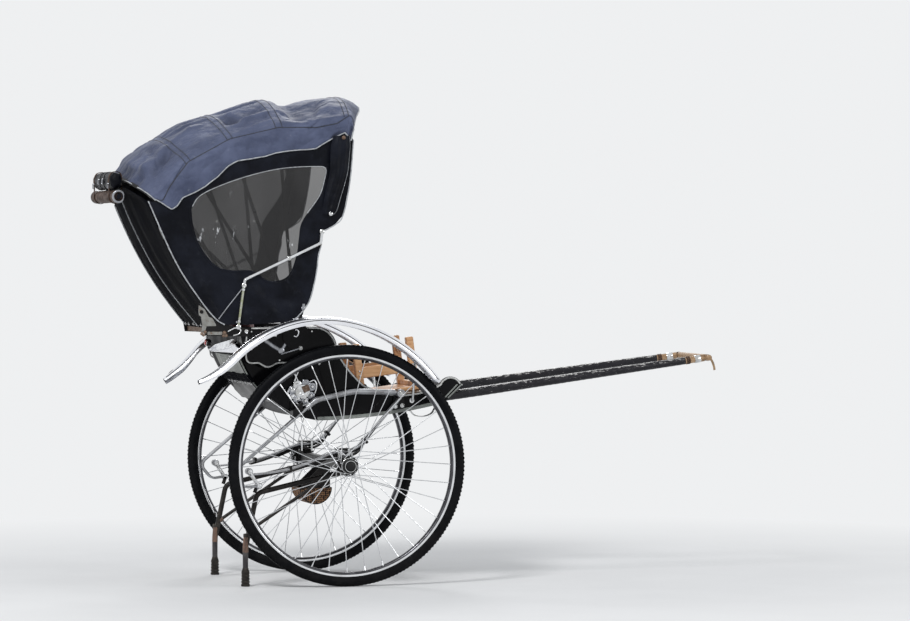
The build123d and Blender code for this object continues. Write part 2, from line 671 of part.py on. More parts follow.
cushion_low = SEAT_BOARD_TOP + SOFT_GAP
with BuildPart() as seat_cushion:
    with BuildSketch(body_plane(0)):
        with BuildLine():
            Polyline(*[(x, cushion_low + lift) for x, lift in CUSHION_PROFILE], close=True)
        make_face()
    extrude(amount=cushion_half, both=True)
save(seat_cushion, "seat_cushion")

with BuildPart() as seat_back:
    back_rear = [(SEAT_BACK_FOOT_X, cushion_low + CUSHION_THICKNESS + BACK_LIFT)] + SEAT_BACK_REAR
    back_front = [(x + BACK_THICKNESS, height) for x, height in reversed(back_rear)]
    with BuildSketch(body_plane(0)):
        with BuildLine():
            Polyline(*back_rear, *back_front, close=True)
        make_face()
    extrude(amount=cushion_half, both=True)
save(seat_back, "seat_back")


# Mudguards: three arcs, set out from the top of the crown line
def arc_shift(radius, heading, turn):
    # from the start to the end of an arc; a positive turn is upward
    side = 1 if turn > 0 else -1
    start, end = radians(heading), radians(heading + turn)
    return Vector(side * radius * (sin(end) - sin(start)), side * radius * (cos(start) - cos(end)))


guard_top = Vector(GUARD_TOP_X, GUARD_TOP_RISE)
guard_tail_heading = GUARD_REAR_TURN - GUARD_TAIL_TURN
guard_tail = (guard_top - arc_shift(GUARD_MIDDLE_RADIUS, GUARD_REAR_TURN, -GUARD_REAR_TURN)
              - arc_shift(GUARD_TAIL_RADIUS, guard_tail_heading, GUARD_TAIL_TURN))
guard_joint = guard_top + arc_shift(GUARD_MIDDLE_RADIUS, 0, -GUARD_MIDDLE_TURN)
GUARD_ARCS = [
    # start, heading, radius and turn of each arc, from the tail to the front end
    (guard_tail, guard_tail_heading, GUARD_TAIL_RADIUS, GUARD_TAIL_TURN),
    (guard_tail + arc_shift(GUARD_TAIL_RADIUS, guard_tail_heading, GUARD_TAIL_TURN), GUARD_REAR_TURN,
     GUARD_MIDDLE_RADIUS, -GUARD_REAR_TURN - GUARD_MIDDLE_TURN),
    (guard_joint, -GUARD_MIDDLE_TURN, GUARD_FRONT_RADIUS, -GUARD_FRONT_TURN),
]


def guard_height(x):
    # height of the crown line behind and ahead of the joint of the last two arcs
    if x < guard_joint.X:
        centre, radius = guard_top - Vector(0, GUARD_MIDDLE_RADIUS), GUARD_MIDDLE_RADIUS
    else:
        heading = radians(GUARD_MIDDLE_TURN)
        centre = guard_joint - Vector(sin(heading), cos(heading)) * GUARD_FRONT_RADIUS
        radius = GUARD_FRONT_RADIUS
    return centre.Y + sqrt(radius**2 - (x - centre.X)**2)


with BuildPart() as mudguard:
    with BuildLine(body_plane(-TRACK / 2)) as guard_line:
        for start, heading, radius, turn in GUARD_ARCS:
            JernArc(start=(start.X, start.Y), tangent=(cos(radians(heading)), sin(radians(heading))),
                    radius=radius, arc_size=turn)
    half_guard = GUARD_WIDTH / 2
    with BuildSketch(Plane(origin=guard_line.line @ 0, x_dir=(0, 1, 0), z_dir=guard_line.line % 0)):
        outer = [(-half_guard, -GUARD_LIP), (-half_guard * 0.85, -GUARD_LIP * 0.25), (0, 0),
                 (half_guard * 0.85, -GUARD_LIP * 0.25), (half_guard, -GUARD_LIP)]
        inner_share = 1 - GUARD_SKIN / half_guard
        inner = [(x * inner_share, drop - GUARD_SKIN if abs(x) < half_guard else drop)
                 for x, drop in reversed(outer)]
        with BuildLine():
            Polyline(*outer, *inner, close=True)
        make_face()
    sweep()
    lip_y = TRACK / 2 - half_guard + GUARD_SKIN / 2
    for x in GUARD_TAB_PLACES:
        lip_height = guard_height(x) - GUARD_LIP
        with BuildSketch(body_plane(-WING_HALF_WIDTH - SEAT_GAP)):
            with Locations((x, lip_height + 7 - GUARD_TAB_HEIGHT / 2)):
                Rectangle(GUARD_TAB_WIDTH, GUARD_TAB_HEIGHT)
        extrude(amount=lip_y - WING_HALF_WIDTH)
    stay_top = body_place(GUARD_STAY_FOOT[0] - 5, -lip_y, guard_height(GUARD_STAY_FOOT[0]) - GUARD_LIP + 8)
    stay_foot = body_place(GUARD_STAY_FOOT[0], -TUB_HALF_WIDTH - GUARD_STAY_RADIUS - SEAT_GAP, GUARD_STAY_FOOT[1])
    with BuildSketch(Plane(origin=stay_foot, z_dir=stay_top - stay_foot)):
        Circle(GUARD_STAY_RADIUS)
    extrude(amount=(stay_top - stay_foot).length)
    with BuildSketch(body_plane(-TUB_HALF_WIDTH - SEAT_GAP)):
        with Locations(GUARD_STAY_FOOT):
            Circle(GUARD_STAY_RADIUS * 2)
    extrude(amount=GUARD_STAY_RADIUS)
save_both_sides(mudguard, "mudguard")


# Hood: five bows that fan out from a plate on each side
def bow_plane(angle):
    # local x is the vehicle's left and local y runs out from the pivot line along the bow
    forward, upward = cos(radians(angle)), sin(radians(angle))
    return Plane(origin=body_place(PIVOT[0], 0, PIVOT[1]), x_dir=(0, 1, 0), z_dir=(upward, 0, -forward))


def arch_radius(shoulder, crown):
    rise = crown - shoulder
    return (HOOD_HALF_WIDTH**2 + rise**2) / (2 * rise)


def leg_reach(half_width, crown, radius):
    # how far a leg goes before its corner starts
    return crown - radius + sqrt((radius - ARCH_CORNER)**2 - (half_width - ARCH_CORNER)**2)


def hoop(half_width, foot, crown, radius):
    # two legs and an arch, with a round corner at each shoulder
    arch_centre = Vector(0, crown - radius)
    leg_top_reach = leg_reach(half_width, crown, radius)
    with BuildLine() as line:
        ends = []
        for side in (-1, 1):
            corner_centre = Vector(side * (half_width - ARCH_CORNER), leg_top_reach)
            inward = (corner_centre - arch_centre).normalized()
            outward = Vector(side, 0)
            arch_end = arch_centre + inward * radius
            corner_middle = corner_centre + (inward + outward).normalized() * ARCH_CORNER
            Line((side * half_width, foot), (side * half_width, leg_top_reach))
            ThreePointArc((side * half_width, leg_top_reach), corner_middle, arch_end)
            ends.append(arch_end)
        ThreePointArc(ends[0], (0, crown), ends[1])
    return line.line


def along_bow(angle, reach):
    # a point of the side view, in body heights
    return (PIVOT[0] + reach * cos(radians(angle)), PIVOT[1] + reach * sin(radians(angle)))


for name, angle, shoulder, crown, flap in BOWS:
    with BuildPart() as bow:
        with BuildSketch(bow_plane(angle)):
            trace(hoop(HOOD_HALF_WIDTH, PIVOT_PLATE_RADIUS + SEAT_GAP, crown, arch_radius(shoulder, crown)),
                  line_width=BOW_THICKNESS)
        extrude(amount=BOW_WIDTH / 2, both=True)
    save(bow, name)

with BuildPart() as hood_pivot:
    with BuildSketch(body_plane(-WING_HALF_WIDTH - SEAT_GAP)):
        with Locations(PIVOT):
            Circle(PIVOT_PLATE_RADIUS)
    extrude(amount=BOW_THICKNESS)
save_both_sides(hood_pivot, "hood_pivot")

# Hood cover: one sheet over the bows, with a flap that hangs below each shoulder, outside the side sheets
sheet_inner = HOOD_HALF_WIDTH + BOW_THICKNESS / 2 + CANVAS_GAP
cover_inner = sheet_inner + CANVAS + CANVAS_GAP
cover_lift = BOW_THICKNESS / 2 + COVER_GAP
cover_sections = [bow[1:] for bow in BOWS] + [FRONT_LIP]
cover_shares = [step / COVER_STEPS for step in range(COVER_STEPS + 1)]


def cover_line(half_width, foot, shoulder, crown, lift):
    # straight runs from the foot of one flap over the arch to the foot of the other
    radius = arch_radius(shoulder, crown) + lift
    middle = crown + lift - radius
    corner_top = leg_reach(half_width, crown + lift, radius)
    arch_end = atan2(half_width - ARCH_CORNER, corner_top - middle)
    half_line = [(half_width, foot)]
    for share in cover_shares:
        turn = (pi / 2 - arch_end) * share
        half_line.append((half_width - ARCH_CORNER + ARCH_CORNER * cos(turn), corner_top + ARCH_CORNER * sin(turn)))
    for share in cover_shares[1:-1]:
        turn = arch_end * (1 - share)
        half_line.append((radius * sin(turn), middle + radius * cos(turn)))
    return half_line + [(0, crown + lift)] + [(-x, height) for x, height in reversed(half_line)]


with BuildPart() as hood_cover:
    for angle, shoulder, crown, flap in cover_sections:
        inside = cover_line(cover_inner, shoulder - flap, shoulder, crown, cover_lift)
        outside = cover_line(cover_inner + CANVAS, shoulder - flap, shoulder, crown, cover_lift + CANVAS)
        with BuildSketch(bow_plane(angle)):
            with BuildLine():
                Polyline(*inside, *reversed(outside), close=True)
            make_face()
    loft(ruled=True)
save(hood_cover, "hood_cover")

# Hood sides with a clear window in each
sheet_top = [along_bow(angle, leg_reach(HOOD_HALF_WIDTH, crown, arch_radius(shoulder, crown)) - SHEET_DROP)
             for name, angle, shoulder, crown, flap in BOWS[:-1]]
with BuildSketch(Plane.XY) as window_outline:
    with BuildLine():
        Polyline(*WINDOW_OUTLINE, close=True)
    make_face()
    fillet(window_outline.vertices(), WINDOW_CORNER)

with BuildPart() as hood_side:
    with BuildSketch(body_plane(-sheet_inner)):
        with BuildLine():
            Polyline(*SHEET_FRONT_EDGE, *SHEET_REAR_EDGE, *sheet_top, close=True)
        make_face()
        add(window_outline.sketch, mode=Mode.SUBTRACT)
    extrude(amount=CANVAS)
save_both_sides(hood_side, "hood_side")

with BuildPart() as window_pane:
    with BuildSketch(body_plane(-sheet_inner - CANVAS / 4)):
        add(window_outline.sketch)
        offset(amount=-SEAT_GAP, mode=Mode.REPLACE)
    extrude(amount=CANVAS / 2)
save_both_sides(window_pane, "window_pane")

# Back curtain: one flat sheet with an arched top, from the rail up to just behind the rear bow
rear_name, rear_angle, rear_shoulder, rear_crown, rear_flap = BOWS[0]
rear_radius = arch_radius(rear_shoulder, rear_crown)
curtain_half = WING_HALF_WIDTH - SEAT_GAP
with BuildPart() as back_curtain:
    lean = radians(CURTAIN_LEAN)
    with BuildSketch(Plane(origin=body_place(CURTAIN_FOOT[0], 0, CURTAIN_FOOT[1]), x_dir=(0, 1, 0),
                           z_dir=(sin(lean), 0, cos(lean)))):
        with BuildLine():
            Polyline((-curtain_half, CURTAIN_SIDE), (-curtain_half, 0), (curtain_half, 0),
                     (curtain_half, CURTAIN_SIDE))
            ThreePointArc((-curtain_half, CURTAIN_SIDE), (0, CURTAIN_CROWN), (curtain_half, CURTAIN_SIDE))
        make_face()
    extrude(amount=-CANVAS)
save(back_curtain, "back_curtain")

# The rolled blind under the rear edge of the cover, held to the rear bow by two straps
with BuildPart() as blind_roll:
    with BuildSketch(body_plane(0)):
        with Locations(ROLL_CENTRE):
            Circle(ROLL_RADIUS)
    extrude(amount=ROLL_HALF_LENGTH, both=True)
save(blind_roll, "blind_roll")

with BuildPart() as roll_straps:
    strap_reach = rear_crown - rear_radius + sqrt(rear_radius**2 - STRAP_Y**2)
    for side in (-1, 1):
        bow_face = bow_plane(rear_angle).from_local_coords((side * STRAP_Y, strap_reach, -BOW_WIDTH / 2 - 0.8))
        with BuildSketch(body_plane(side * STRAP_Y)):
            with Locations(ROLL_CENTRE):
                Circle(ROLL_RADIUS + SEAT_GAP + STRAP_THICKNESS)
            with BuildLine():
                Line(ROLL_CENTRE, (bow_face.X - AXLE_X, bow_face.Z - BODY_DATUM))
            trace(line_width=STRAP_THICKNESS)
            with Locations(ROLL_CENTRE):
                Circle(ROLL_RADIUS + SEAT_GAP, mode=Mode.SUBTRACT)
        extrude(amount=STRAP_WIDTH / 2, both=True)
save(roll_straps, "roll_straps")

# Rear rail, between two base plates on the wings, with the rear lamp on a tab below it
plate_inner = WING_HALF_WIDTH + SEAT_GAP
with BuildPart() as hood_base:
    with BuildSketch(body_plane(-plate_inner)):
        with BuildLine():
            Polyline(*BASE_OUTLINE, close=True)
        make_face()
    extrude(amount=PLATE_THICKNESS)
save_both_sides(hood_base, "hood_base")

with BuildPart() as rear_rail:
    with BuildSketch(body_plane(0)):
        with Locations(RAIL_PLACE):
            Rectangle(RAIL_DEPTH, RAIL_HEIGHT)
    extrude(amount=WING_HALF_WIDTH, both=True)
save(rear_rail, "rear_rail")

with BuildPart() as rear_lamp:
    with BuildSketch(Plane(origin=body_place(LAMP_PLACE[0], LAMP_Y, LAMP_PLACE[1]), z_dir=(1, 0, 0))):
        Circle(LAMP_RADIUS)
    extrude(amount=LAMP_DEPTH)
    tab_height = RAIL_PLACE[1] - RAIL_HEIGHT / 2 - SEAT_GAP - LAMP_PLACE[1]
    tab_middle = body_place(RAIL_PLACE[0], LAMP_Y, LAMP_PLACE[1] + tab_height / 2)
    with BuildSketch(Plane(origin=tab_middle, x_dir=(0, 1, 0), z_dir=(1, 0, 0))):
        Rectangle(TAB_WIDTH, tab_height)
    extrude(amount=TAB_THICKNESS)
save(rear_lamp, "rear_lamp")

# Folding stay of the hood, outside each side sheet, pinned to the front bow and to the base plate
with BuildPart() as hood_stay:
    stay_y = HOOD_HALF_WIDTH + STAY_OFFSET
    stay_inner = stay_y - STAY_RADIUS
    with BuildSketch(body_plane(-stay_y)):
        with BuildLine():
            FilletPolyline(*STAY_POINTS, radius=STAY_BENDS)
        trace(line_width=2 * STAY_RADIUS)
        with Locations(STAY_POINTS[0], STAY_POINTS[-1], *STAY_KNOBS):
            Circle(STAY_KNOB_RADIUS)
    extrude(amount=STAY_RADIUS, both=True)
    bow_outer = HOOD_HALF_WIDTH + BOW_THICKNESS / 2
    for place, face in ((STAY_POINTS[0], bow_outer), (STAY_POINTS[-1], plate_inner + PLATE_THICKNESS)):
        with BuildSketch(body_plane(-face - SEAT_GAP)):
            with Locations(place):
                Circle(STAY_RADIUS)
        extrude(amount=stay_inner - face)
save_both_sides(hood_stay, "hood_stay")

# A wooden boarding stool, carried upside down on the floor behind the toe
with BuildPart() as stool:
    stool_x = SEAT_RISER_FRONT + STOOL_FROM_RISER + STOOL_LENGTH / 2 * cos(slope) + STOOL_BOARD * sin(slope)
    stool_plane = Plane(origin=body_place(stool_x, STOOL_Y, shaft_height(stool_x) + floor_top + SEAT_GAP),
                        x_dir=(cos(slope), 0, sin(slope)), z_dir=(-sin(slope), 0, cos(slope)))
    with BuildSketch(stool_plane):
        RectangleRounded(STOOL_LENGTH, STOOL_WIDTH, STOOL_CORNER)
    extrude(amount=STOOL_BOARD)
    leg_x = STOOL_LENGTH - STOOL_LEG - 2 * STOOL_LEG_INSET
    leg_y = STOOL_WIDTH - STOOL_LEG - 2 * STOOL_LEG_INSET
    with BuildSketch(stool_plane):
        with GridLocations(leg_x, leg_y, 2, 2):
            Rectangle(STOOL_LEG, STOOL_LEG)
    extrude(amount=STOOL_HEIGHT)
    with BuildSketch(stool_plane.offset(STOOL_RAIL_LIFT)):
        with GridLocations(0, leg_y, 1, 2):
            Rectangle(leg_x, STOOL_RAIL_THICKNESS)
    extrude(amount=STOOL_RAIL_HEIGHT)
save(stool, "boarding_stool")
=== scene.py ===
from math import atan2, cos, hypot, pi, radians, sin, sqrt, tan

import bmesh
import bpy
import numpy as np
from mathutils import Matrix, Vector, noise


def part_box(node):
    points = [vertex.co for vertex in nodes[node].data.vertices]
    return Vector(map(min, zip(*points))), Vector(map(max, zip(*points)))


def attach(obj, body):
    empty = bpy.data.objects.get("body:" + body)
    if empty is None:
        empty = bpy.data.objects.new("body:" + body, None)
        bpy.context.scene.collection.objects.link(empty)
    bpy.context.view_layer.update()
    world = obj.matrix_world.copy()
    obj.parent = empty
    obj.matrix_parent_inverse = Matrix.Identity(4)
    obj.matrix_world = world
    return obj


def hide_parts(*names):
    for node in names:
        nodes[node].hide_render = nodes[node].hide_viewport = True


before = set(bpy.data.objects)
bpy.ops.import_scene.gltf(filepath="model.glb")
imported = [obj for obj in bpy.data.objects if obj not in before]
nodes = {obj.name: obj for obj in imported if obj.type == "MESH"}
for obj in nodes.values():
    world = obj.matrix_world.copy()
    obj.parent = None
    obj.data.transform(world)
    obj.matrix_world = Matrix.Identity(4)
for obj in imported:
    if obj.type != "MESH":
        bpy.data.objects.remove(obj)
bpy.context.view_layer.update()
scene = bpy.context.scene
scene.view_settings.view_transform = "Standard"

# Places are written in millimetres: x from the axle to the front, y from the middle, and z from the axle's
# height (axle) or from the wheels' top (body). Sizes given to a shape are in metres.
wheel_low, wheel_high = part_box("tyre_right")
AXLE_X = (wheel_low.x + wheel_high.x) / 2
WHEEL_Y = -(wheel_low.y + wheel_high.y) / 2 * 1000
WHEEL_R = (wheel_high.z - wheel_low.z) / 2 * 1000
SIDES = (("right", -1), ("left", 1))
ACROSS = (0, 1, 0)


def axle(x, y, z):
    return Vector((AXLE_X + x / 1000, y / 1000, (WHEEL_R + z) / 1000))


def body(x, y, z):
    return Vector((AXLE_X + x / 1000, y / 1000, (2 * WHEEL_R + z) / 1000))


# camera, fitted to both wheels' outlines and the shafts
camera = bpy.data.objects.new("camera", bpy.data.cameras.new("camera"))
scene.collection.objects.link(camera)
scene.camera = camera
camera.data.lens = 174.07
camera.data.sensor_width = 36
camera.data.sensor_fit = "HORIZONTAL"
camera.data.clip_end = 200
yaw, pitch = radians(14.547), radians(1.087)
looking = Vector((sin(yaw) * cos(pitch), cos(yaw) * cos(pitch), -sin(pitch)))
camera.location = (AXLE_X - 4.5414, -19.9293, 1.6338)
camera.rotation_euler = looking.to_track_quat("-Z", "Y").to_euler()


# materials
class Nodes:
    """Short ways to add nodes to one tree."""

    def __init__(self, tree):
        self.tree = tree
        tree.nodes.clear()

    def new(self, kind, **values):
        node = self.tree.nodes.new(kind)
        for key, value in values.items():
            setattr(node, key, value)
        return node

    def link(self, start, end):
        self.tree.links.new(start, end)

    def coords(self, stretch=(1, 1, 1)):
        mapping = self.new("ShaderNodeMapping")
        mapping.inputs["Scale"].default_value = stretch
        self.link(self.new("ShaderNodeTexCoord").outputs["Object"], mapping.inputs["Vector"])
        return mapping.outputs["Vector"]

    def noise(self, scale, detail=5.0, rough=0.55, stretch=(1, 1, 1)):
        node = self.new("ShaderNodeTexNoise")
        for key, value in (("Scale", scale), ("Detail", detail), ("Roughness", rough)):
            node.inputs[key].default_value = value
        self.link(self.coords(stretch), node.inputs["Vector"])
        return node.outputs["Fac"]

    def ramp(self, source, low, high, first=0.0, last=1.0):
        node = self.new("ShaderNodeMapRange")
        for key, value in (("From Min", low), ("From Max", high), ("To Min", first), ("To Max", last)):
            node.inputs[key].default_value = value
        self.link(source, node.inputs["Value"])
        return node.outputs["Result"]

    def math(self, operation, first, second):
        node = self.new("ShaderNodeMath", operation=operation)
        for socket, value in zip(node.inputs, (first, second)):
            if isinstance(value, (int, float)):
                socket.default_value = value
            else:
                self.link(value, socket)
        return node.outputs["Value"]

    def mix(self, factor, first, second):
        node = self.new("ShaderNodeMix", data_type="RGBA")
        self.link(factor, node.inputs["Factor"])
        for socket, value in ((node.inputs[6], first), (node.inputs[7], second)):
            if isinstance(value, tuple):
                socket.default_value = (*value, 1)
            else:
                self.link(value, socket)
        return node.outputs[2]

    def seen(self):
        """One for rays from the camera, from a mirror or through vinyl, and nought for light on the part."""
        rays = self.new("ShaderNodeLightPath").outputs
        return self.math("MAXIMUM", self.math("MAXIMUM", rays["Is Camera Ray"], rays["Is Glossy Ray"]),
                         rays["Is Transmission Ray"])

    def blend(self, factor, first, second, output):
        node = self.new("ShaderNodeMixShader")
        for source, socket in zip((factor, first.outputs[0], second.outputs[0]), node.inputs):
            self.link(source, socket)
        self.link(node.outputs[0], self.new(output).inputs["Surface"])


def wear_and_highlight_patches(net, colour, rough, wear_and_highlight, wear_and_highlight_at, scale, stretch, lit_on_top):
    """Patches of another tone: real wear on most finishes, a painted highlight on the shafts and the black
    side canvas, and painted glints on the vinyl; the top flag puts more of them on faces that look up, as a
    painted highlight from above.
    """
    patches = net.noise(scale, 9.0, 0.7, stretch)
    if lit_on_top:
        normal = net.new("ShaderNodeSeparateXYZ")
        net.link(net.new("ShaderNodeNewGeometry").outputs["Normal"], normal.inputs["Vector"])
        patches = net.math("ADD", patches, net.ramp(normal.outputs["Z"], 0.2, 1.0, -0.06, 0.1))
    mask = net.ramp(patches, *wear_and_highlight_at)
    colour = net.mix(mask, colour, wear_and_highlight)
    roughness = net.math("MULTIPLY_ADD", mask, 0.12)
    roughness.node.inputs[2].default_value = rough
    return colour, roughness


def dusted(net, colour, tone, top, strength):
    """Dust in spots, thicker toward the floor; top is the height where it ends."""
    height = net.new("ShaderNodeSeparateXYZ")
    net.link(net.new("ShaderNodeTexCoord").outputs["Object"], height.inputs["Vector"])
    low = net.ramp(height.outputs["Z"], top, 0.0, 0.0, 1.0)
    spots = net.ramp(net.noise(34.0, 8.0, 0.7), 0.35, 0.75)
    return net.mix(net.math("MULTIPLY", low, net.math("MULTIPLY", spots, strength)), colour, tone)


def painted_hollow_shade(net, colour, tone, reach, low, high):
    """Painted shade: a darker tone in the hollows of folds, found by ambient occlusion."""
    hollow = net.new("ShaderNodeAmbientOcclusion", samples=6)
    hollow.inputs["Distance"].default_value = reach
    return net.mix(net.ramp(hollow.outputs["AO"], low, high), tone, colour)


def woven(net, relief, depth, pitch):
    """Threads across all three axes; pitch is their distance in millimetres."""
    place = net.new("ShaderNodeSeparateXYZ")
    net.link(net.coords(), place.inputs["Vector"])
    x, y, z = (net.math("SINE", net.math("MULTIPLY", place.outputs[axis], 2000 * pi / pitch), 0)
        for axis in "XYZ")
    threads = net.math("ADD", x, net.math("ADD", y, z))
    return net.math("ADD", relief, net.math("MULTIPLY", threads, depth))


def pebbled(net, relief, depth):
    """The grain of leather."""
    cells = net.new("ShaderNodeTexVoronoi", feature="DISTANCE_TO_EDGE")
    cells.inputs["Scale"].default_value = 380.0
    net.link(net.coords(), cells.inputs["Vector"])
    return net.math("ADD", relief, net.math("MULTIPLY", net.ramp(cells.outputs["Distance"], 0, 0.12), depth))


def wrinkled(net, scale, strength, stretch):
    """Larger creases under the fine relief, as a normal."""
    folds = net.new("ShaderNodeBump")
    folds.inputs["Strength"].default_value = strength
    folds.inputs["Distance"].default_value = 0.011
    large, small = (
        net.ramp(net.math("ABSOLUTE", net.math("SUBTRACT", net.noise(size, 2.5, 0.5, stretch), 0.5), 0), 0.0,
            0.16) for size in (scale, scale * 2.3))
    net.link(net.math("ADD", large, net.math("MULTIPLY", small, 0.35)), folds.inputs["Height"])
    return folds.outputs["Normal"]


M = {}


def finish(key, name, slot, base, second, rough, rough_second, metal=0.0, scale=9.0, spread=(0.42, 0.62),
           stretch=(1, 1, 1), coat=0.0, coat_rough=0.05, sheen=0.0, alpha=1.0, bump=0.1, bump_scale=300.0,
           bump_stretch=(1, 1, 1), weave=0.0, pitch=1.4, pebble=0.0, wear_and_highlight=None, wear_and_highlight_at=(0.6, 0.64),
           wear_and_highlight_scale=45.0, top_highlight=False, dust=None, specular=0.5, wrinkle=None, hollow_shade=None):
    """A principled finish with two blended tones, patches of wear (painted highlights and glints on a few
    finishes), dust low down, painted shade in hollows, and fine relief.
    """
    material = bpy.data.materials.new(name)
    material.use_nodes = True
    net = Nodes(material.node_tree)
    shader = net.new("ShaderNodeBsdfPrincipled")
    net.link(shader.outputs["BSDF"], net.new("ShaderNodeOutputMaterial").inputs["Surface"])
    tone = net.ramp(net.noise(scale, stretch=stretch), *spread)
    colour = net.mix(tone, base, second)
    roughness = net.ramp(tone, 0, 1, rough, rough_second)
    if wear_and_highlight:
        colour, roughness = wear_and_highlight_patches(net, colour, rough, wear_and_highlight, wear_and_highlight_at, wear_and_highlight_scale, stretch, top_highlight)
    if dust:
        colour = dusted(net, colour, *dust)
    if hollow_shade:
        colour = painted_hollow_shade(net, colour, *hollow_shade)
    net.link(colour, shader.inputs["Base Color"])
    net.link(roughness, shader.inputs["Roughness"])
    for label, value in (("Metallic", metal), ("Coat Weight", coat), ("Coat Roughness", coat_rough),
                         ("Sheen Weight", sheen), ("Sheen Roughness", 0.4), ("Alpha", alpha),
                         ("Specular IOR Level", specular)):
        shader.inputs[label].default_value = value
    relief = net.noise(bump_scale, 4.0, stretch=bump_stretch)
    if weave:
        relief = woven(net, relief, weave, pitch)
    if pebble:
        relief = pebbled(net, relief, pebble)
    fine = net.new("ShaderNodeBump")
    fine.inputs["Strength"].default_value = bump
    fine.inputs["Distance"].default_value = 0.001
    net.link(relief, fine.inputs["Height"])
    if wrinkle:
        net.link(wrinkled(net, *wrinkle, stretch), fine.inputs["Normal"])
    net.link(fine.outputs["Normal"], shader.inputs["Normal"])
    material["slot"] = slot
    M[key] = material


def lamp(name, place, target, size, power):
    light = bpy.data.objects.new(name, bpy.data.lights.new(name, "AREA"))
    light.data.shape, light.data.size, light.data.energy = "DISK", size, power
    light.location = place
    light.rotation_euler = (Vector(target) - Vector(place)).to_track_quat("-Z", "Y").to_euler()
    scene.collection.objects.link(light)


lamp("key", (-5.0, -5.5, 8.0), (0, 0, 1.0), 2.4, 520)
lamp("fill", (6.0, -5.0, 3.5), (0, 0, 1.0), 4.0, 120)
lamp("back", (1.5, 7.0, 6.0), (0, 0, 1.2), 3.0, 210)
BACKDROP = (0.86, 0.87, 0.88, 1)


def studio_world():
    """A pale backdrop for the camera, and a dimmer, slightly blue light on the part."""
    world = bpy.data.worlds.new("studio")
    scene.world = world
    world.use_nodes = True
    net = Nodes(world.node_tree)
    pale = net.new("ShaderNodeBackground")
    pale.inputs["Color"].default_value = BACKDROP
    ambient = net.new("ShaderNodeBackground")
    ambient.inputs["Color"].default_value = (0.93, 0.96, 1.0, 1)
    ambient.inputs["Strength"].default_value = 0.42
    net.blend(net.seen(), ambient, pale, "ShaderNodeOutputWorld")


def pale_floor():
    """A floor that passes into the backdrop away from the part."""
    floor = bpy.data.objects.new("floor", bpy.data.meshes.new("floor"))
    floor.data.from_pydata([(-60, -60, 0), (60, -60, 0), (60, 60, 0), (-60, 60, 0)], [], [(0, 1, 2, 3)])
    scene.collection.objects.link(floor)
    surface = bpy.data.materials.new("pale_floor")
    surface.use_nodes = True
    net = Nodes(surface.node_tree)
    near = net.new("ShaderNodeBsdfPrincipled")
    near.inputs["Roughness"].default_value = 0.85
    near.inputs["Specular IOR Level"].default_value = 0.1
    patches = net.ramp(net.noise(1.5), 0.4, 0.6)
    net.link(net.mix(patches, (0.8, 0.805, 0.81), (0.78, 0.785, 0.79)), near.inputs["Base Color"])
    far = net.new("ShaderNodeEmission")
    far.inputs["Color"].default_value = BACKDROP
    distance = net.new("ShaderNodeVectorMath", operation="LENGTH")
    net.link(net.coords(), distance.inputs[0])
    away = net.ramp(distance.outputs["Value"], 1.6, 4.5)
    net.blend(net.math("MULTIPLY", away, net.seen()), near, far, "ShaderNodeOutputMaterial")
    floor.data.materials.append(surface)


studio_world()
pale_floor()

# dust is a tone, the height where it ends and its strength; the painted shade in hollows is a tone, a reach
# and two limits
DUST = ((0.21, 0.18, 0.15), 0.62, 0.55)
finish("tyre", "tyre_rubber", "tyre", (0.003, 0.0034, 0.0046), (0.0062, 0.0066, 0.008), 0.46, 0.62,
    bump=0.35, bump_scale=700, dust=((0.16, 0.145, 0.13), 1.2, 0.06), specular=0.05)
finish("chrome", "bright_chrome", "chrome", (0.78, 0.79, 0.81), (0.66, 0.67, 0.68), 0.09, 0.22, metal=1.0,
    scale=20, bump=0.03, bump_scale=500, wear_and_highlight=(0.23, 0.17, 0.12), wear_and_highlight_at=(0.69, 0.76), wear_and_highlight_scale=160)
finish("spoke", "spoke_steel", "chrome", (0.72, 0.73, 0.75), (0.55, 0.56, 0.57), 0.2, 0.34, metal=1.0,
    scale=60, bump=0.05)
finish("guard", "polished_guard", "polished_steel", (0.89, 0.9, 0.93), (0.77, 0.78, 0.82), 0.17, 0.3,
    metal=1.0, scale=14, stretch=(1, 4, 1), bump=0.05, bump_scale=420, bump_stretch=(1, 6, 1))
# painted shade: the mudguard's groove, edge lines and slots are near black, not the polished steel's own
# colour
finish("guard_shade_line", "guard_groove", "polished_steel", (0.03, 0.03, 0.032), (0.07, 0.065, 0.06), 0.5, 0.7)
finish("steel", "painted_black_steel", "black_steel", (0.005, 0.005, 0.006), (0.011, 0.01, 0.01), 0.36, 0.5,
    specular=0.18, bump=0.2, bump_scale=260, wear_and_highlight=(0.17, 0.12, 0.09), wear_and_highlight_at=(0.66, 0.7), dust=DUST)
finish("grey_steel", "grey_spring", "grey_steel", (0.46, 0.47, 0.49), (0.31, 0.31, 0.32), 0.28, 0.45,
    metal=0.6, bump=0.2, scale=18, wear_and_highlight=(0.1, 0.075, 0.06), wear_and_highlight_at=(0.6, 0.66), dust=DUST)
finish("bright", "bright_fittings", "chrome", (0.7, 0.71, 0.72), (0.52, 0.52, 0.51), 0.16, 0.3, metal=1.0,
    scale=40, bump=0.06, wear_and_highlight=(0.2, 0.15, 0.11), wear_and_highlight_at=(0.66, 0.73), wear_and_highlight_scale=120)
finish("rust", "rusty_steel", "rusty_steel", (0.13, 0.07, 0.04), (0.24, 0.17, 0.125), 0.6, 0.85, scale=60,
    bump=0.6, bump_scale=420, wear_and_highlight=(0.07, 0.035, 0.022), wear_and_highlight_at=(0.52, 0.66), wear_and_highlight_scale=90)
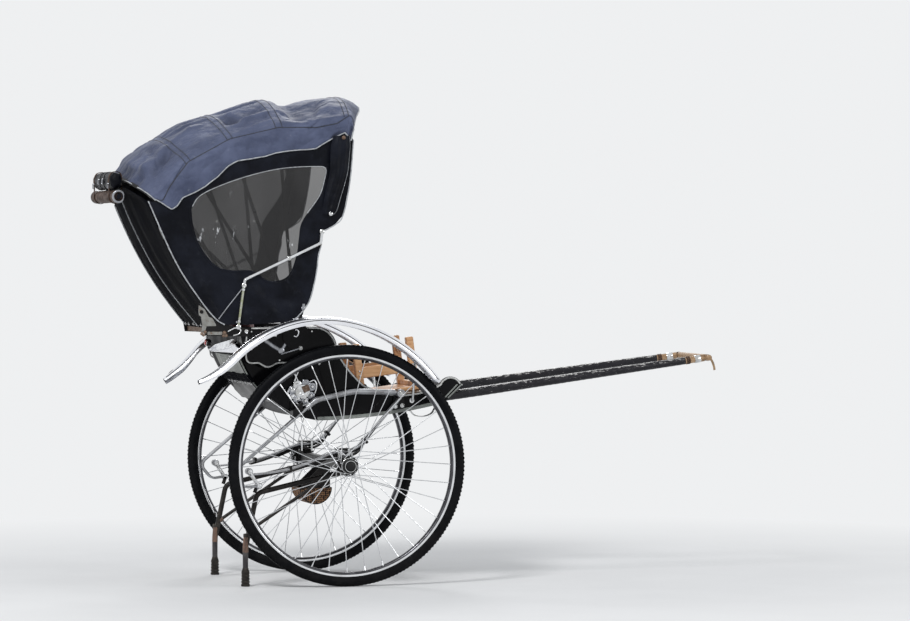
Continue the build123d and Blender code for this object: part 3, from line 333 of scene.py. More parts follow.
finish("lacquer", "black_lacquer", "black_lacquer", (0.0028, 0.0028, 0.0036), (0.006, 0.006, 0.007),
    0.14, 0.24, specular=0.06, coat=0.07, coat_rough=0.05, scale=5, bump=0.02, bump_scale=120,
    dust=((0.13, 0.115, 0.1), 1.1, 0.05))
finish("piping", "pale_piping", "black_lacquer", (0.66, 0.67, 0.66), (0.46, 0.46, 0.44), 0.35, 0.55,
    scale=50, wear_and_highlight=(0.12, 0.11, 0.1), wear_and_highlight_at=(0.66, 0.72), wear_and_highlight_scale=120)
finish("trim", "grey_trim", "grey_steel", (0.26, 0.28, 0.26), (0.17, 0.18, 0.17), 0.34, 0.5, scale=30,
    wear_and_highlight=(0.05, 0.045, 0.04), wear_and_highlight_at=(0.62, 0.7))
# painted shade: the canvas is darkened in the hollows of its folds
finish("canvas", "slate_canvas", "blue_canvas", (0.053, 0.066, 0.12), (0.098, 0.118, 0.2),
    0.6, 0.76, wrinkle=(5.0, 0.85), scale=7, spread=(0.36, 0.68), sheen=0.12, bump=0.42, bump_scale=240,
    weave=0.16, pitch=1.6, wear_and_highlight=(0.19, 0.21, 0.28), wear_and_highlight_at=(0.6, 0.82), wear_and_highlight_scale=22, specular=0.3,
    hollow_shade=((0.016, 0.02, 0.038), 0.085, 0.6, 0.97))
finish("canvas_inside", "canvas_lining", "black_canvas", (0.0045, 0.0045, 0.006), (0.01, 0.01, 0.012), 0.8,
    0.9, sheen=0.02, bump=0.4, weave=0.16, specular=0.15)
# painted highlight: the side canvas's paler blue patches stand in for soft highlights on its folds, with some
# wear
finish("side", "black_canvas", "black_canvas", (0.003, 0.0036, 0.0062), (0.0085, 0.01, 0.016),
    0.4, 0.58, scale=8, sheen=0.0, bump=0.3, bump_scale=260, weave=0.1, pitch=1.3, specular=0.09,
    wear_and_highlight=(0.03, 0.034, 0.044), wear_and_highlight_at=(0.6, 0.84), wear_and_highlight_scale=20, wrinkle=(4.0, 0.5))
finish("curtain", "curtain_canvas", "black_canvas", (0.0026, 0.0028, 0.0042), (0.006, 0.0064, 0.009), 0.7,
    0.85, scale=8, bump=0.3, bump_scale=260, weave=0.1, pitch=1.3, specular=0.02)
finish("tub_back", "dull_lacquer", "black_lacquer", (0.01, 0.01, 0.012), (0.026, 0.026, 0.028), 0.42, 0.6,
    specular=0.06, scale=7, bump=0.1, bump_scale=160, dust=((0.13, 0.115, 0.1), 1.1, 0.12))
finish("seam", "pale_seam", "black_canvas", (0.46, 0.48, 0.5), (0.28, 0.29, 0.31), 0.6, 0.75, scale=90)
finish("seam_dark", "dark_seam", "blue_canvas", (0.018, 0.021, 0.03), (0.04, 0.046, 0.062), 0.6, 0.75,
    scale=90)
# painted glints: the pale streaks on the vinyl are highlights painted into its colour
finish("vinyl", "clear_vinyl", "clear_vinyl", (0.018, 0.0175, 0.018), (0.036, 0.035, 0.036),
    0.14, 0.26, scale=6, alpha=0.56, coat=0.22, coat_rough=0.06, bump=0.05, bump_scale=60, specular=0.4,
    wear_and_highlight=(0.7, 0.72, 0.75), wear_and_highlight_at=(0.625, 0.66), wear_and_highlight_scale=15, stretch=(1, 1, 0.42))
finish("red", "red_leather", "red_leather", (0.17, 0.014, 0.014), (0.105, 0.008, 0.009), 0.36, 0.5, scale=9,
    coat=0.08, bump=0.35, pebble=0.8, wear_and_highlight=(0.26, 0.05, 0.04), wear_and_highlight_at=(0.6, 0.85), wear_and_highlight_scale=16)
finish("floor", "floor_boards", "floor_wood", (0.05, 0.03, 0.018), (0.092, 0.056, 0.033), 0.45, 0.6, scale=5,
    stretch=(1.2, 14, 14), bump=0.4, bump_scale=40, bump_stretch=(2, 40, 40), wear_and_highlight=(0.16, 0.125, 0.09),
    wear_and_highlight_at=(0.58, 0.8), wear_and_highlight_scale=8)
finish("stool", "orange_wood", "orange_wood", (0.72, 0.42, 0.215), (0.56, 0.285, 0.125), 0.36, 0.52, scale=5,
    stretch=(2, 12, 12), coat=0.25, coat_rough=0.2, bump=0.25, bump_scale=30, bump_stretch=(3, 30, 30))
finish("tan", "bare_wood", "tan_wood", (0.44, 0.29, 0.165), (0.28, 0.165, 0.085), 0.5, 0.7, scale=6,
    stretch=(1.5, 16, 16), bump=0.4, bump_scale=40, bump_stretch=(3, 40, 40), wear_and_highlight=(0.11, 0.07, 0.045),
    wear_and_highlight_at=(0.6, 0.72), wear_and_highlight_scale=26)
# painted highlight: the pale patches, more of them on top, stand in for the glossy shafts' highlight from
# above, with some real wear
finish("shaft", "worn_shaft", "shaft_black", (0.006, 0.006, 0.009), (0.014, 0.013, 0.017),
    0.26, 0.42, scale=16, specular=0.3, stretch=(1, 3, 3), bump=0.5, bump_scale=190, wear_and_highlight=(0.5, 0.49, 0.48),
    wear_and_highlight_at=(0.568, 0.625), wear_and_highlight_scale=38, top_highlight=True)
finish("bow", "bow_black", "bow_black", (0.005, 0.005, 0.006), (0.011, 0.01, 0.01), 0.4, 0.6, bump=0.25,
    specular=0.22, wear_and_highlight=(0.15, 0.12, 0.09), wear_and_highlight_at=(0.66, 0.72))
finish("plastic", "black_plastic", "black_plastic", (0.004, 0.004, 0.0045), (0.009, 0.009, 0.009), 0.36, 0.5,
    specular=0.3, bump=0.15, bump_scale=500)
finish("lens", "red_lens", "black_plastic", (0.42, 0.012, 0.01), (0.3, 0.006, 0.006), 0.12, 0.2, coat=1.0,
    bump=0.25, pebble=1.2)
finish("foot", "foot_rubber", "rubber", (0.006, 0.006, 0.006), (0.014, 0.013, 0.012), 0.6, 0.8, bump=0.4,
    specular=0.25, dust=((0.15, 0.13, 0.11), 0.3, 0.35))
finish("wicker", "brown_wicker", "wicker", (0.33, 0.17, 0.078), (0.022, 0.011, 0.007), 0.4, 0.7, scale=84,
    spread=(0.45, 0.55), bump=0.5, bump_scale=260)
finish("strap", "brown_strap", "black_canvas", (0.085, 0.046, 0.03), (0.036, 0.021, 0.015), 0.5, 0.7,
    scale=40, specular=0.2, bump=0.4)
finish("tan_strap", "tan_strap", "tan_wood", (0.4, 0.27, 0.155), (0.26, 0.165, 0.09), 0.6, 0.8, scale=60,
    bump=0.4)
finish("rim_grey", "rim_inside", "chrome", (0.36, 0.37, 0.4), (0.24, 0.245, 0.26), 0.22, 0.4, metal=1.0,
    scale=24, bump=0.04, wear_and_highlight=(0.14, 0.1, 0.08), wear_and_highlight_at=(0.66, 0.74), wear_and_highlight_scale=90)
# painted reflection: the rim's channel is painted dark, though it is the same chrome as the walls
finish("rim_painted_dark", "rim_channel", "chrome", (0.105, 0.105, 0.115), (0.06, 0.06, 0.065), 0.25, 0.4, metal=1.0,
    scale=24, bump=0.04)
finish("copper_rust", "copper_rust", "rusty_steel", (0.2, 0.115, 0.078), (0.085, 0.055, 0.043), 0.5, 0.7,
    scale=34, stretch=(1, 1, 0.4), bump=0.5, wear_and_highlight=(0.012, 0.01, 0.01), wear_and_highlight_at=(0.56, 0.66), wear_and_highlight_scale=34)
finish("worn_dark", "worn_dark_steel", "black_steel", (0.028, 0.026, 0.028), (0.085, 0.08, 0.08), 0.35, 0.5,
    scale=30, stretch=(1, 1, 0.3), bump=0.3, specular=0.4)
finish("moss_steel", "olive_rod", "grey_steel", (0.34, 0.36, 0.22), (0.46, 0.47, 0.42), 0.3, 0.45, metal=0.5,
    scale=60, wear_and_highlight=(0.12, 0.1, 0.06), wear_and_highlight_at=(0.58, 0.66), wear_and_highlight_scale=140)
finish("splash", "splash_sheet", "grey_steel", (0.235, 0.25, 0.225), (0.12, 0.13, 0.115), 0.4, 0.6, scale=9,
    stretch=(1, 1, 0.4), wear_and_highlight=(0.05, 0.045, 0.03), wear_and_highlight_at=(0.58, 0.7), wear_and_highlight_scale=24, bump=0.3)
finish("splash_low", "splash_flap", "grey_steel", (0.125, 0.122, 0.12), (0.07, 0.068, 0.066), 0.45, 0.65,
    scale=12, wear_and_highlight=(0.035, 0.032, 0.03), wear_and_highlight_at=(0.58, 0.7), wear_and_highlight_scale=24, bump=0.3)
finish("plate", "pale_plate", "rusty_steel", (0.27, 0.27, 0.255), (0.2, 0.195, 0.18), 0.42, 0.6, scale=30,
    wear_and_highlight=(0.16, 0.09, 0.05), wear_and_highlight_at=(0.6, 0.68), wear_and_highlight_scale=60)


# shapes: each piece is gathered as rings and then made once
def rounded(points, radii, steps=8):
    """Points along straight runs with an arc at each corner."""
    points = [Vector(p) for p in points]
    if not hasattr(radii, "__len__"):
        radii = [radii] * (len(points) - 2)
    result = [points[0]]
    for before, corner, after, radius in zip(points, points[1:], points[2:], radii):
        inward, outward = (before - corner).normalized(), (after - corner).normalized()
        half = inward.angle(outward) / 2
        reach = min(radius / tan(half), (before - corner).length * 0.49, (after - corner).length * 0.49)
        middle = (inward + outward).normalized()
        radius = reach * tan(half)
        centre = corner + middle * (radius / sin(half))
        first, last = corner + inward * reach - centre, corner + outward * reach - centre
        turn = first.angle(last)
        axis = first.cross(last).normalized()
        result += [centre + Matrix.Rotation(turn * i / steps, 3, axis) @ first for i in range(steps + 1)]
    return result + [points[-1]]


def smooth_line(points, steps=8):
    """A Catmull-Rom line through the points."""
    points = [Vector(p) for p in points]
    ends = [points[0] * 2 - points[1], *points, points[-1] * 2 - points[-2]]
    result = []
    for a, b, c, d in zip(ends, ends[1:], ends[2:], ends[3:]):
        for i in range(steps):
            t = i / steps
            result.append((b * 2 + (c - a) * t + (a * 2 - b * 5 + c * 4 - d) * t * t
                           + (b * 3 - a - c * 3 + d) * t**3) / 2)
    return result + [points[-1]]


def along(points, steps):
    """The same line with even spacing."""
    reach = [0.0]
    for a, b in zip(points, points[1:]):
        reach.append(reach[-1] + (b - a).length)
    array = np.array(points)
    even = np.linspace(0, reach[-1], steps + 1)
    return [
        Vector(p) for p in zip(*(np.interp(even, reach, array[:, axis]) for axis in range(array.shape[1])))]


def spread(count, first, last):
    return [first + (last - first) * i / (count - 1) for i in range(count)]


def circle(count):
    """Angles around a full turn, without the last."""
    return spread(count + 1, 0, 2 * pi)[:-1]


def read_off(x, rows, key=0, value=1):
    """A value between the rows of a table."""
    return float(np.interp(x, [row[key] for row in rows], [row[value] for row in rows]))


def in_plane(place, y, points):
    return [place(x, y, z) for x, z in points]


def scaled(rows):
    return [(a / 1000, b / 1000) for a, b in rows]


def nearest(x, y, start, end):
    """The share of a run that is nearest to a place, and the distance from there."""
    dx, dy = end[0] - start[0], end[1] - start[1]
    x, y = x - start[0], y - start[1]
    share = max(0, min(1, (x * dx + y * dy) / (dx * dx + dy * dy)))
    return share, hypot(x - dx * share, y - dy * share)


def arc_points(start, rows, steps=10):
    """Straight runs and arcs through three points, as pairs."""
    result = [start]
    for middle, end in rows:
        if middle is None:
            result.append(end)
        else:
            (ax, ay), (bx, by), (cx, cy) = start, middle, end
            d = 2 * (ax * (by - cy) + bx * (cy - ay) + cx * (ay - by))
            a, b, c = ax**2 + ay**2, bx**2 + by**2, cx**2 + cy**2
            ux = (a * (by - cy) + b * (cy - ay) + c * (ay - by)) / d
            uy = (a * (cx - bx) + b * (ax - cx) + c * (bx - ax)) / d
            radius = hypot(ax - ux, ay - uy)
            first, half, last = (atan2(y - uy, x - ux) for x, y in (start, middle, end))
            turn = (last - first) % (2 * pi)
            if (half - first) % (2 * pi) > turn:
                turn -= 2 * pi
            result += [
                (ux + radius * cos(first + turn * i / steps), uy + radius * sin(first + turn * i / steps))
                for i in range(1, steps + 1)]
        start = end
    return result


def rounded_frame(half_width, half_height, steps=3):
    """The outline of a buckle."""
    result = []
    for i, (x, z) in enumerate(((1, 1), (-1, 1), (-1, -1), (1, -1))):
        for a in spread(steps, 0, pi / 2):
            p, q = (cos(a), sin(a)) if i % 2 == 0 else (sin(a), cos(a))
            result.append((x * half_width * (0.82 + 0.18 * p), z * half_height * (0.75 + 0.25 * q)))
    return result


class Shape:
    """Faces with marks; a mark is the number of a material in the shape's list."""

    def __init__(self, *materials):
        self.materials = [M[name] for name in materials]
        self.points, self.faces, self.marks = [], [], []

    def add(self, points, faces, mark=0):
        base = len(self.points)
        self.points += [Vector(p) for p in points]
        self.faces += [tuple(base + i for i in face) for face in faces]
        self.marks += [mark] * len(faces)
        return self

    def loft(self, rings, mark=0, round_ring=True, joined=False):
        """Rings with the same count of points, one after the other; joined closes the row of rings."""
        count = len(rings[0])
        faces = []
        for i in range(len(rings) if joined else len(rings) - 1):
            here, there = i * count, (i + 1) % len(rings) * count
            for j in range(count if round_ring else count - 1):
                k = (j + 1) % count
                faces.append((here + j, here + k, there + k, there + j))
        if not joined:
            faces.append(tuple(reversed(range(count))))
            faces.append(tuple(range((len(rings) - 1) * count, len(rings) * count)))
        return self.add([p for ring in rings for p in ring], faces, mark)

    def tube(self, path, radius, sides=12, mark=0, joined=False, flat=1.0):
        """A round bar along a path, with one radius or one for each point."""
        path = [Vector(p) for p in path]
        radii = radius if hasattr(radius, "__len__") else [radius] * len(path)
        count = len(path)
        tangents = [(path[(i + 1) % count if joined else min(i + 1, count - 1)]
                     - path[i - 1 if joined else max(i - 1, 0)]).normalized() for i in range(count)]
        across = tangents[0].orthogonal().normalized()
        if abs(tangents[0].y) < 0.9:
            across = (Vector(ACROSS) - tangents[0] * tangents[0].y).normalized()
        rings = []
        for place, tangent, size in zip(path, tangents, radii):
            across = (across - tangent * across.dot(tangent)).normalized()
            up = tangent.cross(across)
            rings.append([place + (across * cos(2 * pi * j / sides) + up * (sin(2 * pi * j / sides) * flat))
                    * size for j in range(sides)])
        return self.loft(rings, mark, joined=joined)

    def strip(self, path, width, thickness, mark=0, bevel=0.25, normal=ACROSS):
        """A flat bar along a path; normal is the direction across its width."""
        path, wide = [Vector(p) for p in path], Vector(normal).normalized()
        rings = []
        cut = thickness * bevel
        w, t = width / 2, thickness / 2
        outline = [(-w, -t + cut), (-w + cut, -t), (w - cut, -t), (w, -t + cut),
                   (w, t - cut), (w - cut, t), (-w + cut, t), (-w, t - cut)]
        for i, place in enumerate(path):
            tangent = (path[min(i + 1, len(path) - 1)] - path[max(i - 1, 0)]).normalized()
            up = tangent.cross(wide).normalized()
            rings.append([place + wide * a + up * b for a, b in outline])
        return self.loft(rings, mark)

    def lathe(self, profile, centre, direction=ACROSS, sides=96, mark=0, closed=True):
        """profile is a list of distance along the direction and radius; it closes into a ring."""
        direction = Vector(direction).normalized()
        across = direction.orthogonal().normalized()
        up = direction.cross(across)
        rings = []
        for i in range(sides):
            angle = 2 * pi * i / sides
            out = across * cos(angle) + up * sin(angle)
            rings.append([Vector(centre) + direction * a + out * r for a, r in profile])
        return self.loft(rings, mark, round_ring=closed, joined=True)

    def turned(self, profile, centre, direction=ACROSS, sides=24, mark=0):
        """A lathe whose profile starts and ends on the axis or inside the piece."""
        return self.lathe(profile, centre, direction, sides, mark, closed=False)

    def block(self, centre, size, axes=None, bevel=0.002, mark=0):
        """A box with bevelled edges."""
        axes = axes or (Vector((1, 0, 0)), Vector(ACROSS), Vector((0, 0, 1)))
        x, y, z = (s / 2 for s in size)
        b = min(bevel, x * 0.8, y * 0.8, z * 0.8)
        rings = []
        for inset, height in ((b, -z), (0, -z + b), (0, z - b), (b, z)):
            w, d = x - inset, y - inset
            ring = [(-w + b, -d), (w - b, -d), (w, -d + b), (w, d - b),
                    (w - b, d), (-w + b, d), (-w, d - b), (-w, -d + b)]
            rings.append([Vector(centre) + axes[0] * p + axes[1] * q + axes[2] * height for p, q in ring])
        return self.loft(rings, mark)

    def bolt(self, place, direction, radius=0.007, mark=0, washer=True):
        direction = Vector(direction).normalized()
        if washer:
            self.turned([(0, 0), (0, radius * 1.5), (radius * 0.22, radius * 1.5),
                    (radius * 0.3, radius * 1.4), (radius * 0.3, 0)], place, direction, 20, mark)
        head = Vector(place) + direction * radius * 0.28
        self.turned([(0, radius), (radius * 0.62, radius), (radius * 0.8, radius * 0.82), (radius * 0.8, 0)],
                    head, direction, 6, mark)
        return self

    def make(self, name, stands_for=(), rides="chassis", smooth=40):
        """Makes the piece; edges sharper than smooth stay sharp."""
        mesh = bpy.data.meshes.new(name)
        mesh.from_pydata(self.points, [], self.faces)
        mesh.polygons.foreach_set("material_index", self.marks)
        for material in self.materials:
            mesh.materials.append(material)
        work = bmesh.new()
        work.from_mesh(mesh)
        bmesh.ops.remove_doubles(work, verts=work.verts, dist=1e-6)
        bmesh.ops.recalc_face_normals(work, faces=work.faces)
        for edge in work.edges:
            edge.smooth = len(edge.link_faces) == 2 and edge.calc_face_angle(0) < radians(smooth)
        for face in work.faces:
            face.smooth = True
        work.to_mesh(mesh)
        work.free()
        piece = bpy.data.objects.new(name, mesh)
        scene.collection.objects.link(piece)
        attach(piece, rides)
        if stands_for:
            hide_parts(*stands_for)
        return piece


def dress(material, *names):
    """A CAD node keeps its shape and gets a better material."""
    for name in names:
        nodes[name].data.materials.clear()
        nodes[name].data.materials.append(M[material])


def pair(name):
    return [f"{name}_{side}" for side, _ in SIDES]


# wheels
SEAT_R = WHEEL_R - 53
RIBS = 180
RIM_WALL = [(13.4, 0), (13.4, 8.4), (15.0, 9.2), (17.3, 7.6), (17.5, 2.0), (16.2, -1.0), (17.1, -3.6),
    (15.6, -7.6), (11.0, -11.4), (7.0, -12.6), (2.6, -12.9)]
# a spoke's way around the hub, and its distance from the wheel's middle at the hub and at the rim
LACING = [(1, 35.7, 6.5), (1, -25.3, -2.2), (-1, 25.3, 2.2), (-1, -35.7, -6.5)]
SPOKES, HUB_HOLES, HUB_FLANGE, SPOKE_TURN = 36, 39.0, 30, radians(70)
BARREL = [(-56, 13), (-56, 24), (-53, 25.6), (-50, 24), (-44, 22.6), (-34, 23.5), (-33, 45), (-32, 46),
    (-28, 46), (-27, 45), (-26, 26), (-18, 20.5), (0, 18.6), (18, 20.5), (26, 26), (27, 45), (28, 46),
    (32, 46), (33, 45), (34, 24), (46, 24), (46, 13)]
CAP_RING = [(44, 20), (44, 35.2), (46, 36.4), (49, 36.4), (50.5, 34.6)]
CAP = [(50.5, 34.6), (68, 33.8), (73, 32.2), (75.4, 29), (75.6, 24), (74.2, 22.6), (74.4, 21), (78.6, 19.4),
    (80.6, 13), (81, 0)]


def tyre(side_name, centre, out):
    """A solid tyre with two rows of ribs."""
    shell = []
    for a in spread(29, radians(-62), radians(242)):
        outer = sin(a) > 0
        shell.append((-0.021 * cos(a) * (1 if outer else 0.92),
                      (SEAT_R + 27) / 1000 + sin(a) * (0.026 if outer else 0.03)))
    shape = Shape("tyre").lathe(shell, centre, out, RIBS)
    for i in range(RIBS):
        for lane in (-1, 1):
            turn = 2 * pi * (i + (0.5 if lane > 0 else 0)) / RIBS
            up = Vector((sin(turn), 0, cos(turn)))
            slanted = (Vector((cos(turn), 0, -sin(turn))) + out * 0.3 * lane).normalized()
            shape.block(centre + up * ((WHEEL_R - 2.2) / 1000) + out * (lane * 0.0085),
                (0.009, 0.0105, 0.0036), (slanted, out, up), 0.0008)
    shape.make(f"tyre_tread_{side_name}", [f"tyre_{side_name}"], f"wheel_{side_name}")


def rim(side_name, centre, out):
    """A polished rim; the channel between its walls is painted dark as a painted reflection."""
    wall = [(a / 1000, (SEAT_R + r) / 1000) for a, r in RIM_WALL]
    shape = Shape("chrome", "rim_painted_dark").lathe(wall + [(-a, r) for a, r in reversed(wall)], centre, out, RIBS)
    channel = (SEAT_R - 1.6) / 1000
    reach = [hypot(p.x - centre.x, p.z - centre.z) for p in shape.points]
    shape.marks = [int(sum(reach[i] for i in face) / len(face) < channel) for face in shape.faces]
    shape.make(f"rim_polished_{side_name}", [f"rim_{side_name}"], f"wheel_{side_name}")


def spokes(side_name, side, out):
    """Crossed spokes with bent heads at the hub and nipples at the rim."""
    shape = Shape("spoke", "chrome")
    rim_r = SEAT_R - 12.9
    for i in range(SPOKES):
        turn, hub_out, rim_out = LACING[i % 4]
        rim_angle = 2 * pi * i / SPOKES
        hub_angle = rim_angle - turn * SPOKE_TURN
        start = axle(HUB_HOLES * sin(hub_angle), side * (WHEEL_Y + hub_out), HUB_HOLES * cos(hub_angle))
        end = axle(rim_r * sin(rim_angle), side * (WHEEL_Y + rim_out), rim_r * cos(rim_angle))
        run = (end - start).normalized()
        elbow = out * (-1 if hub_out > HUB_FLANGE or -HUB_FLANGE < hub_out < 0 else 1)
        shape.tube([start + elbow * 0.007, start + elbow * 0.002, start + run * 0.003, start + run * 0.008,
                    end - run * 0.012], 0.002, 8)
        shape.tube([end + run * a for a in (-0.018, -0.015, -0.003, 0.001)],
            [0.0019, 0.0026, 0.0026, 0.0036], 8, 1)
        shape.turned([(0, 0), (0, 0.0036), (0.0012, 0.0032), (0.0018, 0)], start - elbow * 0.0045, -elbow,
            10, 1)
    shape.make(f"spokes_laced_{side_name}", [f"spokes_{side_name}"], f"wheel_{side_name}")


def hub(side_name, centre, out):
    shape = Shape("steel", "bright", "plastic")
    shape.lathe(scaled(BARREL), centre, out, 72)
    shape.lathe(scaled(CAP_RING + [(50.5, 20)]), centre, out, 72, 1)
    shape.turned(scaled(CAP), centre, out, 72, 2)
    shape.lathe([(0.0752, 0.0262), (0.0764, 0.0262), (0.0764, 0.024), (0.0752, 0.024)], centre, out, 60, 1)
    shape.make(f"hub_turned_{side_name}", [f"hub_{side_name}"], f"wheel_{side_name}")


for side_name, side in SIDES:
    centre, out = axle(0, side * WHEEL_Y, 0), Vector((0, side, 0))
    tyre(side_name, centre, out)
    rim(side_name, centre, out)
    spokes(side_name, side, out)
    hub(side_name, centre, out)

# springs: each leaf has its front, two points over the axle, its rear and the radii of its two bends
SPRING_Y = 385
EYE, SHACKLE, UPPER_EYE = (271, 324), (-436, -25), (-392, -90)
MAIN = 55.5
LEAVES = [((EYE[0], EYE[1] - 19), (62, MAIN + 8), (-60, MAIN), (-436, -40), (0.15, 0.5)),
          ((150, 166), (62, MAIN - 3), (-60, MAIN - 9), (-270, -10), (0.15, 0.5)),
          ((104, 105), (62, MAIN - 14), (-60, MAIN - 18), (-150, 15), (0.1, 0.4))]
UPPER_BAR = [(251.8, 328), (50, 334), (-125, 296), (-512, -30), (-455, -98), UPPER_EYE]
UPPER_SLOPE = (296 + 30) / (-125 + 512)
SLEEVE = [(248, 328), (50, 334), (-125, 296), (-168, 296 - 43 * UPPER_SLOPE)]
PIN = [(-0.0258, 0), (-0.0258, 0.007), (-0.022, 0.0085), (0.022, 0.0085), (0.0258, 0.007), (0.0258, 0)]
UPPER_PIN = [(-0.0258, 0), (-0.0258, 0.012), (-0.023, 0.0138), (0.023, 0.0138), (0.0258, 0.012), (0.0258, 0)]


def sagging(point):
    """The rear half hangs a little below the straight line."""
    share = min(1, max(0, (AXLE_X * 1000 - 40 - point.x * 1000) / 396))
    return point - Vector((0, 0, 0.024 * sin(pi * share)))


def axle_clamp(pack, y):
    """Plates over and under the axle with two bent bolts."""
    pack.block(axle(0, y, 71), (0.064, 0.06, 0.007))
    pack.block(axle(0, y, 23.4), (0.064, 0.06, 0.008))
    pack.block(axle(0, y, 30), (0.05, 0.044, 0.007))
    for x in (-24, 24):
        for offset in (-25.5, 25.5):
            pack.tube([axle(x, y + offset, z) for z in (20, 40, 62, 74.2)], 0.0045, 10, 1)
            pack.lathe([(0, 0.0045), (0, 0.0078), (0.006, 0.0078), (0.006, 0.0045)],
                axle(x, y + offset, 66.6), (0, 0, 1), 6, 1)
        pack.tube([axle(x, y + offset, 72.5) for offset in (-25.5, 0, 25.5)], 0.0045, 10, 1)


def leaf_pack(side_name, y):
    pack = Shape("steel", "bright", "grey_steel")
    for i, (front, bend_a, bend_b, rear, radii) in enumerate(LEAVES):
        line = along(rounded(in_plane(axle, y, [front, bend_a, bend_b, rear]), radii, 10), 60)
        pack.strip([sagging(p) for p in line], 0.044, 0.0066 if i else 0.0078, 0 if i else 2)
    for (x, z), size in ((EYE, 0.019), (SHACKLE, 0.015)):
        pack.lathe([(-0.022, 0.008), (-0.022, size - 0.001), (-0.02, size), (0.02, size),
                (0.022, size - 0.001), (0.022, 0.008)], axle(x, y, z), ACROSS, 32, 2)
        pack.turned(PIN, axle(x, y, z), ACROSS, 24, 1)
    axle_clamp(pack, y)
    # two bands around the leaves
    for x, z, height, run, up in ((104, 108, 0.027, (0.72, 0, 0.69), (-0.69, 0, 0.72)),
                                  (-246, -12, 0.018, (0.98, 0, 0.2), (-0.2, 0, 0.98))):
        pack.block(axle(x, y, z), (0.012, 0.049, height), (Vector(run), Vector(ACROSS), Vector(up)), 0.001)
    pack.make(f"leaf_pack_{side_name}", [f"leaf_spring_{side_name}"])


def upper_spring(side_name, side, y):
    """A flat bar that curls round at the rear, wound with cord along its front part."""
    upper = Shape("grey_steel", "grey_steel", "bright")
    upper.strip(rounded(in_plane(axle, y, UPPER_BAR), [0.26, 0.26, 0.034, 0.034], 12), 0.042, 0.0108, 0, 0.35)
    sleeve = along(rounded(in_plane(axle, y, SLEEVE), [0.26, 0.03], 14), 120)
    upper.tube(sleeve, [0.0142 - (0.0009 if i % 3 == 0 else 0) for i in range(121)], 14, 1, flat=0.94)
    upper.turned(UPPER_PIN, axle(UPPER_EYE[0], y, UPPER_EYE[1]), ACROSS, 28)
    upper.bolt(axle(UPPER_EYE[0], y + side * 25.5, UPPER_EYE[1]), (0, side, 0), 0.006, 2)
    upper.make(f"upper_spring_bar_{side_name}", [f"upper_spring_{side_name}"])


def bracket_bolts(side_name, side):
    brackets = Shape("bright")
    out = (0, side, 0)
    for (x, z), y, size in ((EYE, 408, 0.0065), ((255, 262), 358.6, 0.0065), ((287, 266), 358.6, 0.0065)):
        brackets.bolt(axle(x, side * y, z), out, size)
    brackets.lathe([(0, 0.009), (0, 0.024), (0.0042, 0.024), (0.0042, 0.009)], axle(-213, side * 359, 330),
        out, 28)
    for x, z in ((-225, 345), (-200, 345), (-213, 358)):
        brackets.bolt(axle(x, side * 358.6, z), out, 0.0055)
    brackets.make(f"bracket_bolts_{side_name}")


for side_name, side in SIDES:
    leaf_pack(side_name, side * SPRING_Y)
    upper_spring(side_name, side, side * SPRING_Y)
    bracket_bolts(side_name, side)

# stand
LEG_Y, LEG_X, LEG_TOP = 350, -445, -34.3
LEG_LINE = [(24, LEG_TOP), (-52, LEG_TOP - 14), (-392, -126), (LEG_X, -380), (LEG_X, -511)]
SHACKLE_GAP = 28.5


def shackles(stand, side):
    """Two slim links from the main leaf's end to the upper spring's end, with their pins."""
    for inner in (SPRING_Y - SHACKLE_GAP, SPRING_Y + SHACKLE_GAP):
        link = in_plane(axle, side * inner, [(-436, -19), SHACKLE, UPPER_EYE, (-390, -95)])
        stand.strip(link, 0.003, 0.0085, 2, 0.1)
        for x, z in (SHACKLE, UPPER_EYE):
            stand.turned([(-0.0022, 0), (-0.0022, 0.0098), (0.0022, 0.0098), (0.0022, 0)],
                         axle(x, side * inner, z), ACROSS, 24, 2)
    stand.strip(in_plane(axle, side * 356.5, [UPPER_EYE, (-404, -124)]), 0.0044, 0.017, 0, 0.1)
    for x, z in (SHACKLE, UPPER_EYE):
        stand.bolt(axle(x, side * (SPRING_Y + 30.7), z), (0, side, 0), 0.0044, 2)


def stand_leg(side_name, side):
    y = side * LEG_Y
    stand = Shape("steel", "copper_rust", "bright", "worn_dark")
    stand.tube(rounded(in_plane(axle, y, LEG_LINE), [0.06, 0.042, 0.12], 12), 0.0118, 20)
    stand.tube(in_plane(axle, y, [(-440.5, -322), (-444.4, -372), (LEG_X, -395)]), [0.0129, 0.0132, 0.0132],
        20, 1)
    stand.tube(in_plane(axle, y, [(LEG_X, -392), (LEG_X, -474)]), [0.0127, 0.0125], 20, 3)
    for x, z, size in ((-440, -318, 0.015), (LEG_X, -474, 0.014)):
        stand.lathe([(-0.008, 0.0122), (-0.007, size), (0.007, size), (0.008, 0.0122)], axle(x, y, z),
            (0, 0, 1), 24)
    low, high = axle(-431, y, -300), axle(-40, y, LEG_TOP - 6)
    stand.tube(along([low, high], 6), 0.0078, 14)
    for share, mark in ((0.02, 1), (0.94, 0)):
        place = low.lerp(high, share)
        stand.tube([place, place.lerp(high, 0.04)], 0.0112, 14, mark)
    shackles(stand, side)
    stand.make(f"stand_leg_{side_name}", [f"stand_{side_name}"])


def rubber_foot(side_name, side):
    """A ribbed sleeve over the leg's end."""
    foot = Shape("foot")
    rings = [(0.0, 0.0), (0.0, 0.0175), (0.002, 0.0195)]
    for i in range(4):
        z, rib = 0.004 + i * 0.0135, 0.0205 - 0.0006 * i
        rings += [(z, rib), (z + 0.006, rib), (z + 0.0075, 0.0168), (z + 0.012, 0.0168)]
    rings += [(0.06, 0.019), (0.068, 0.018), (0.076, 0.015), (0.078, 0.0138), (0.04, 0.0135), (0.04, 0)]
    foot.turned(rings, axle(LEG_X, side * LEG_Y, -550), (0, 0, 1), 40)
    foot.make(f"foot_tread_{side_name}", [f"foot_{side_name}"])


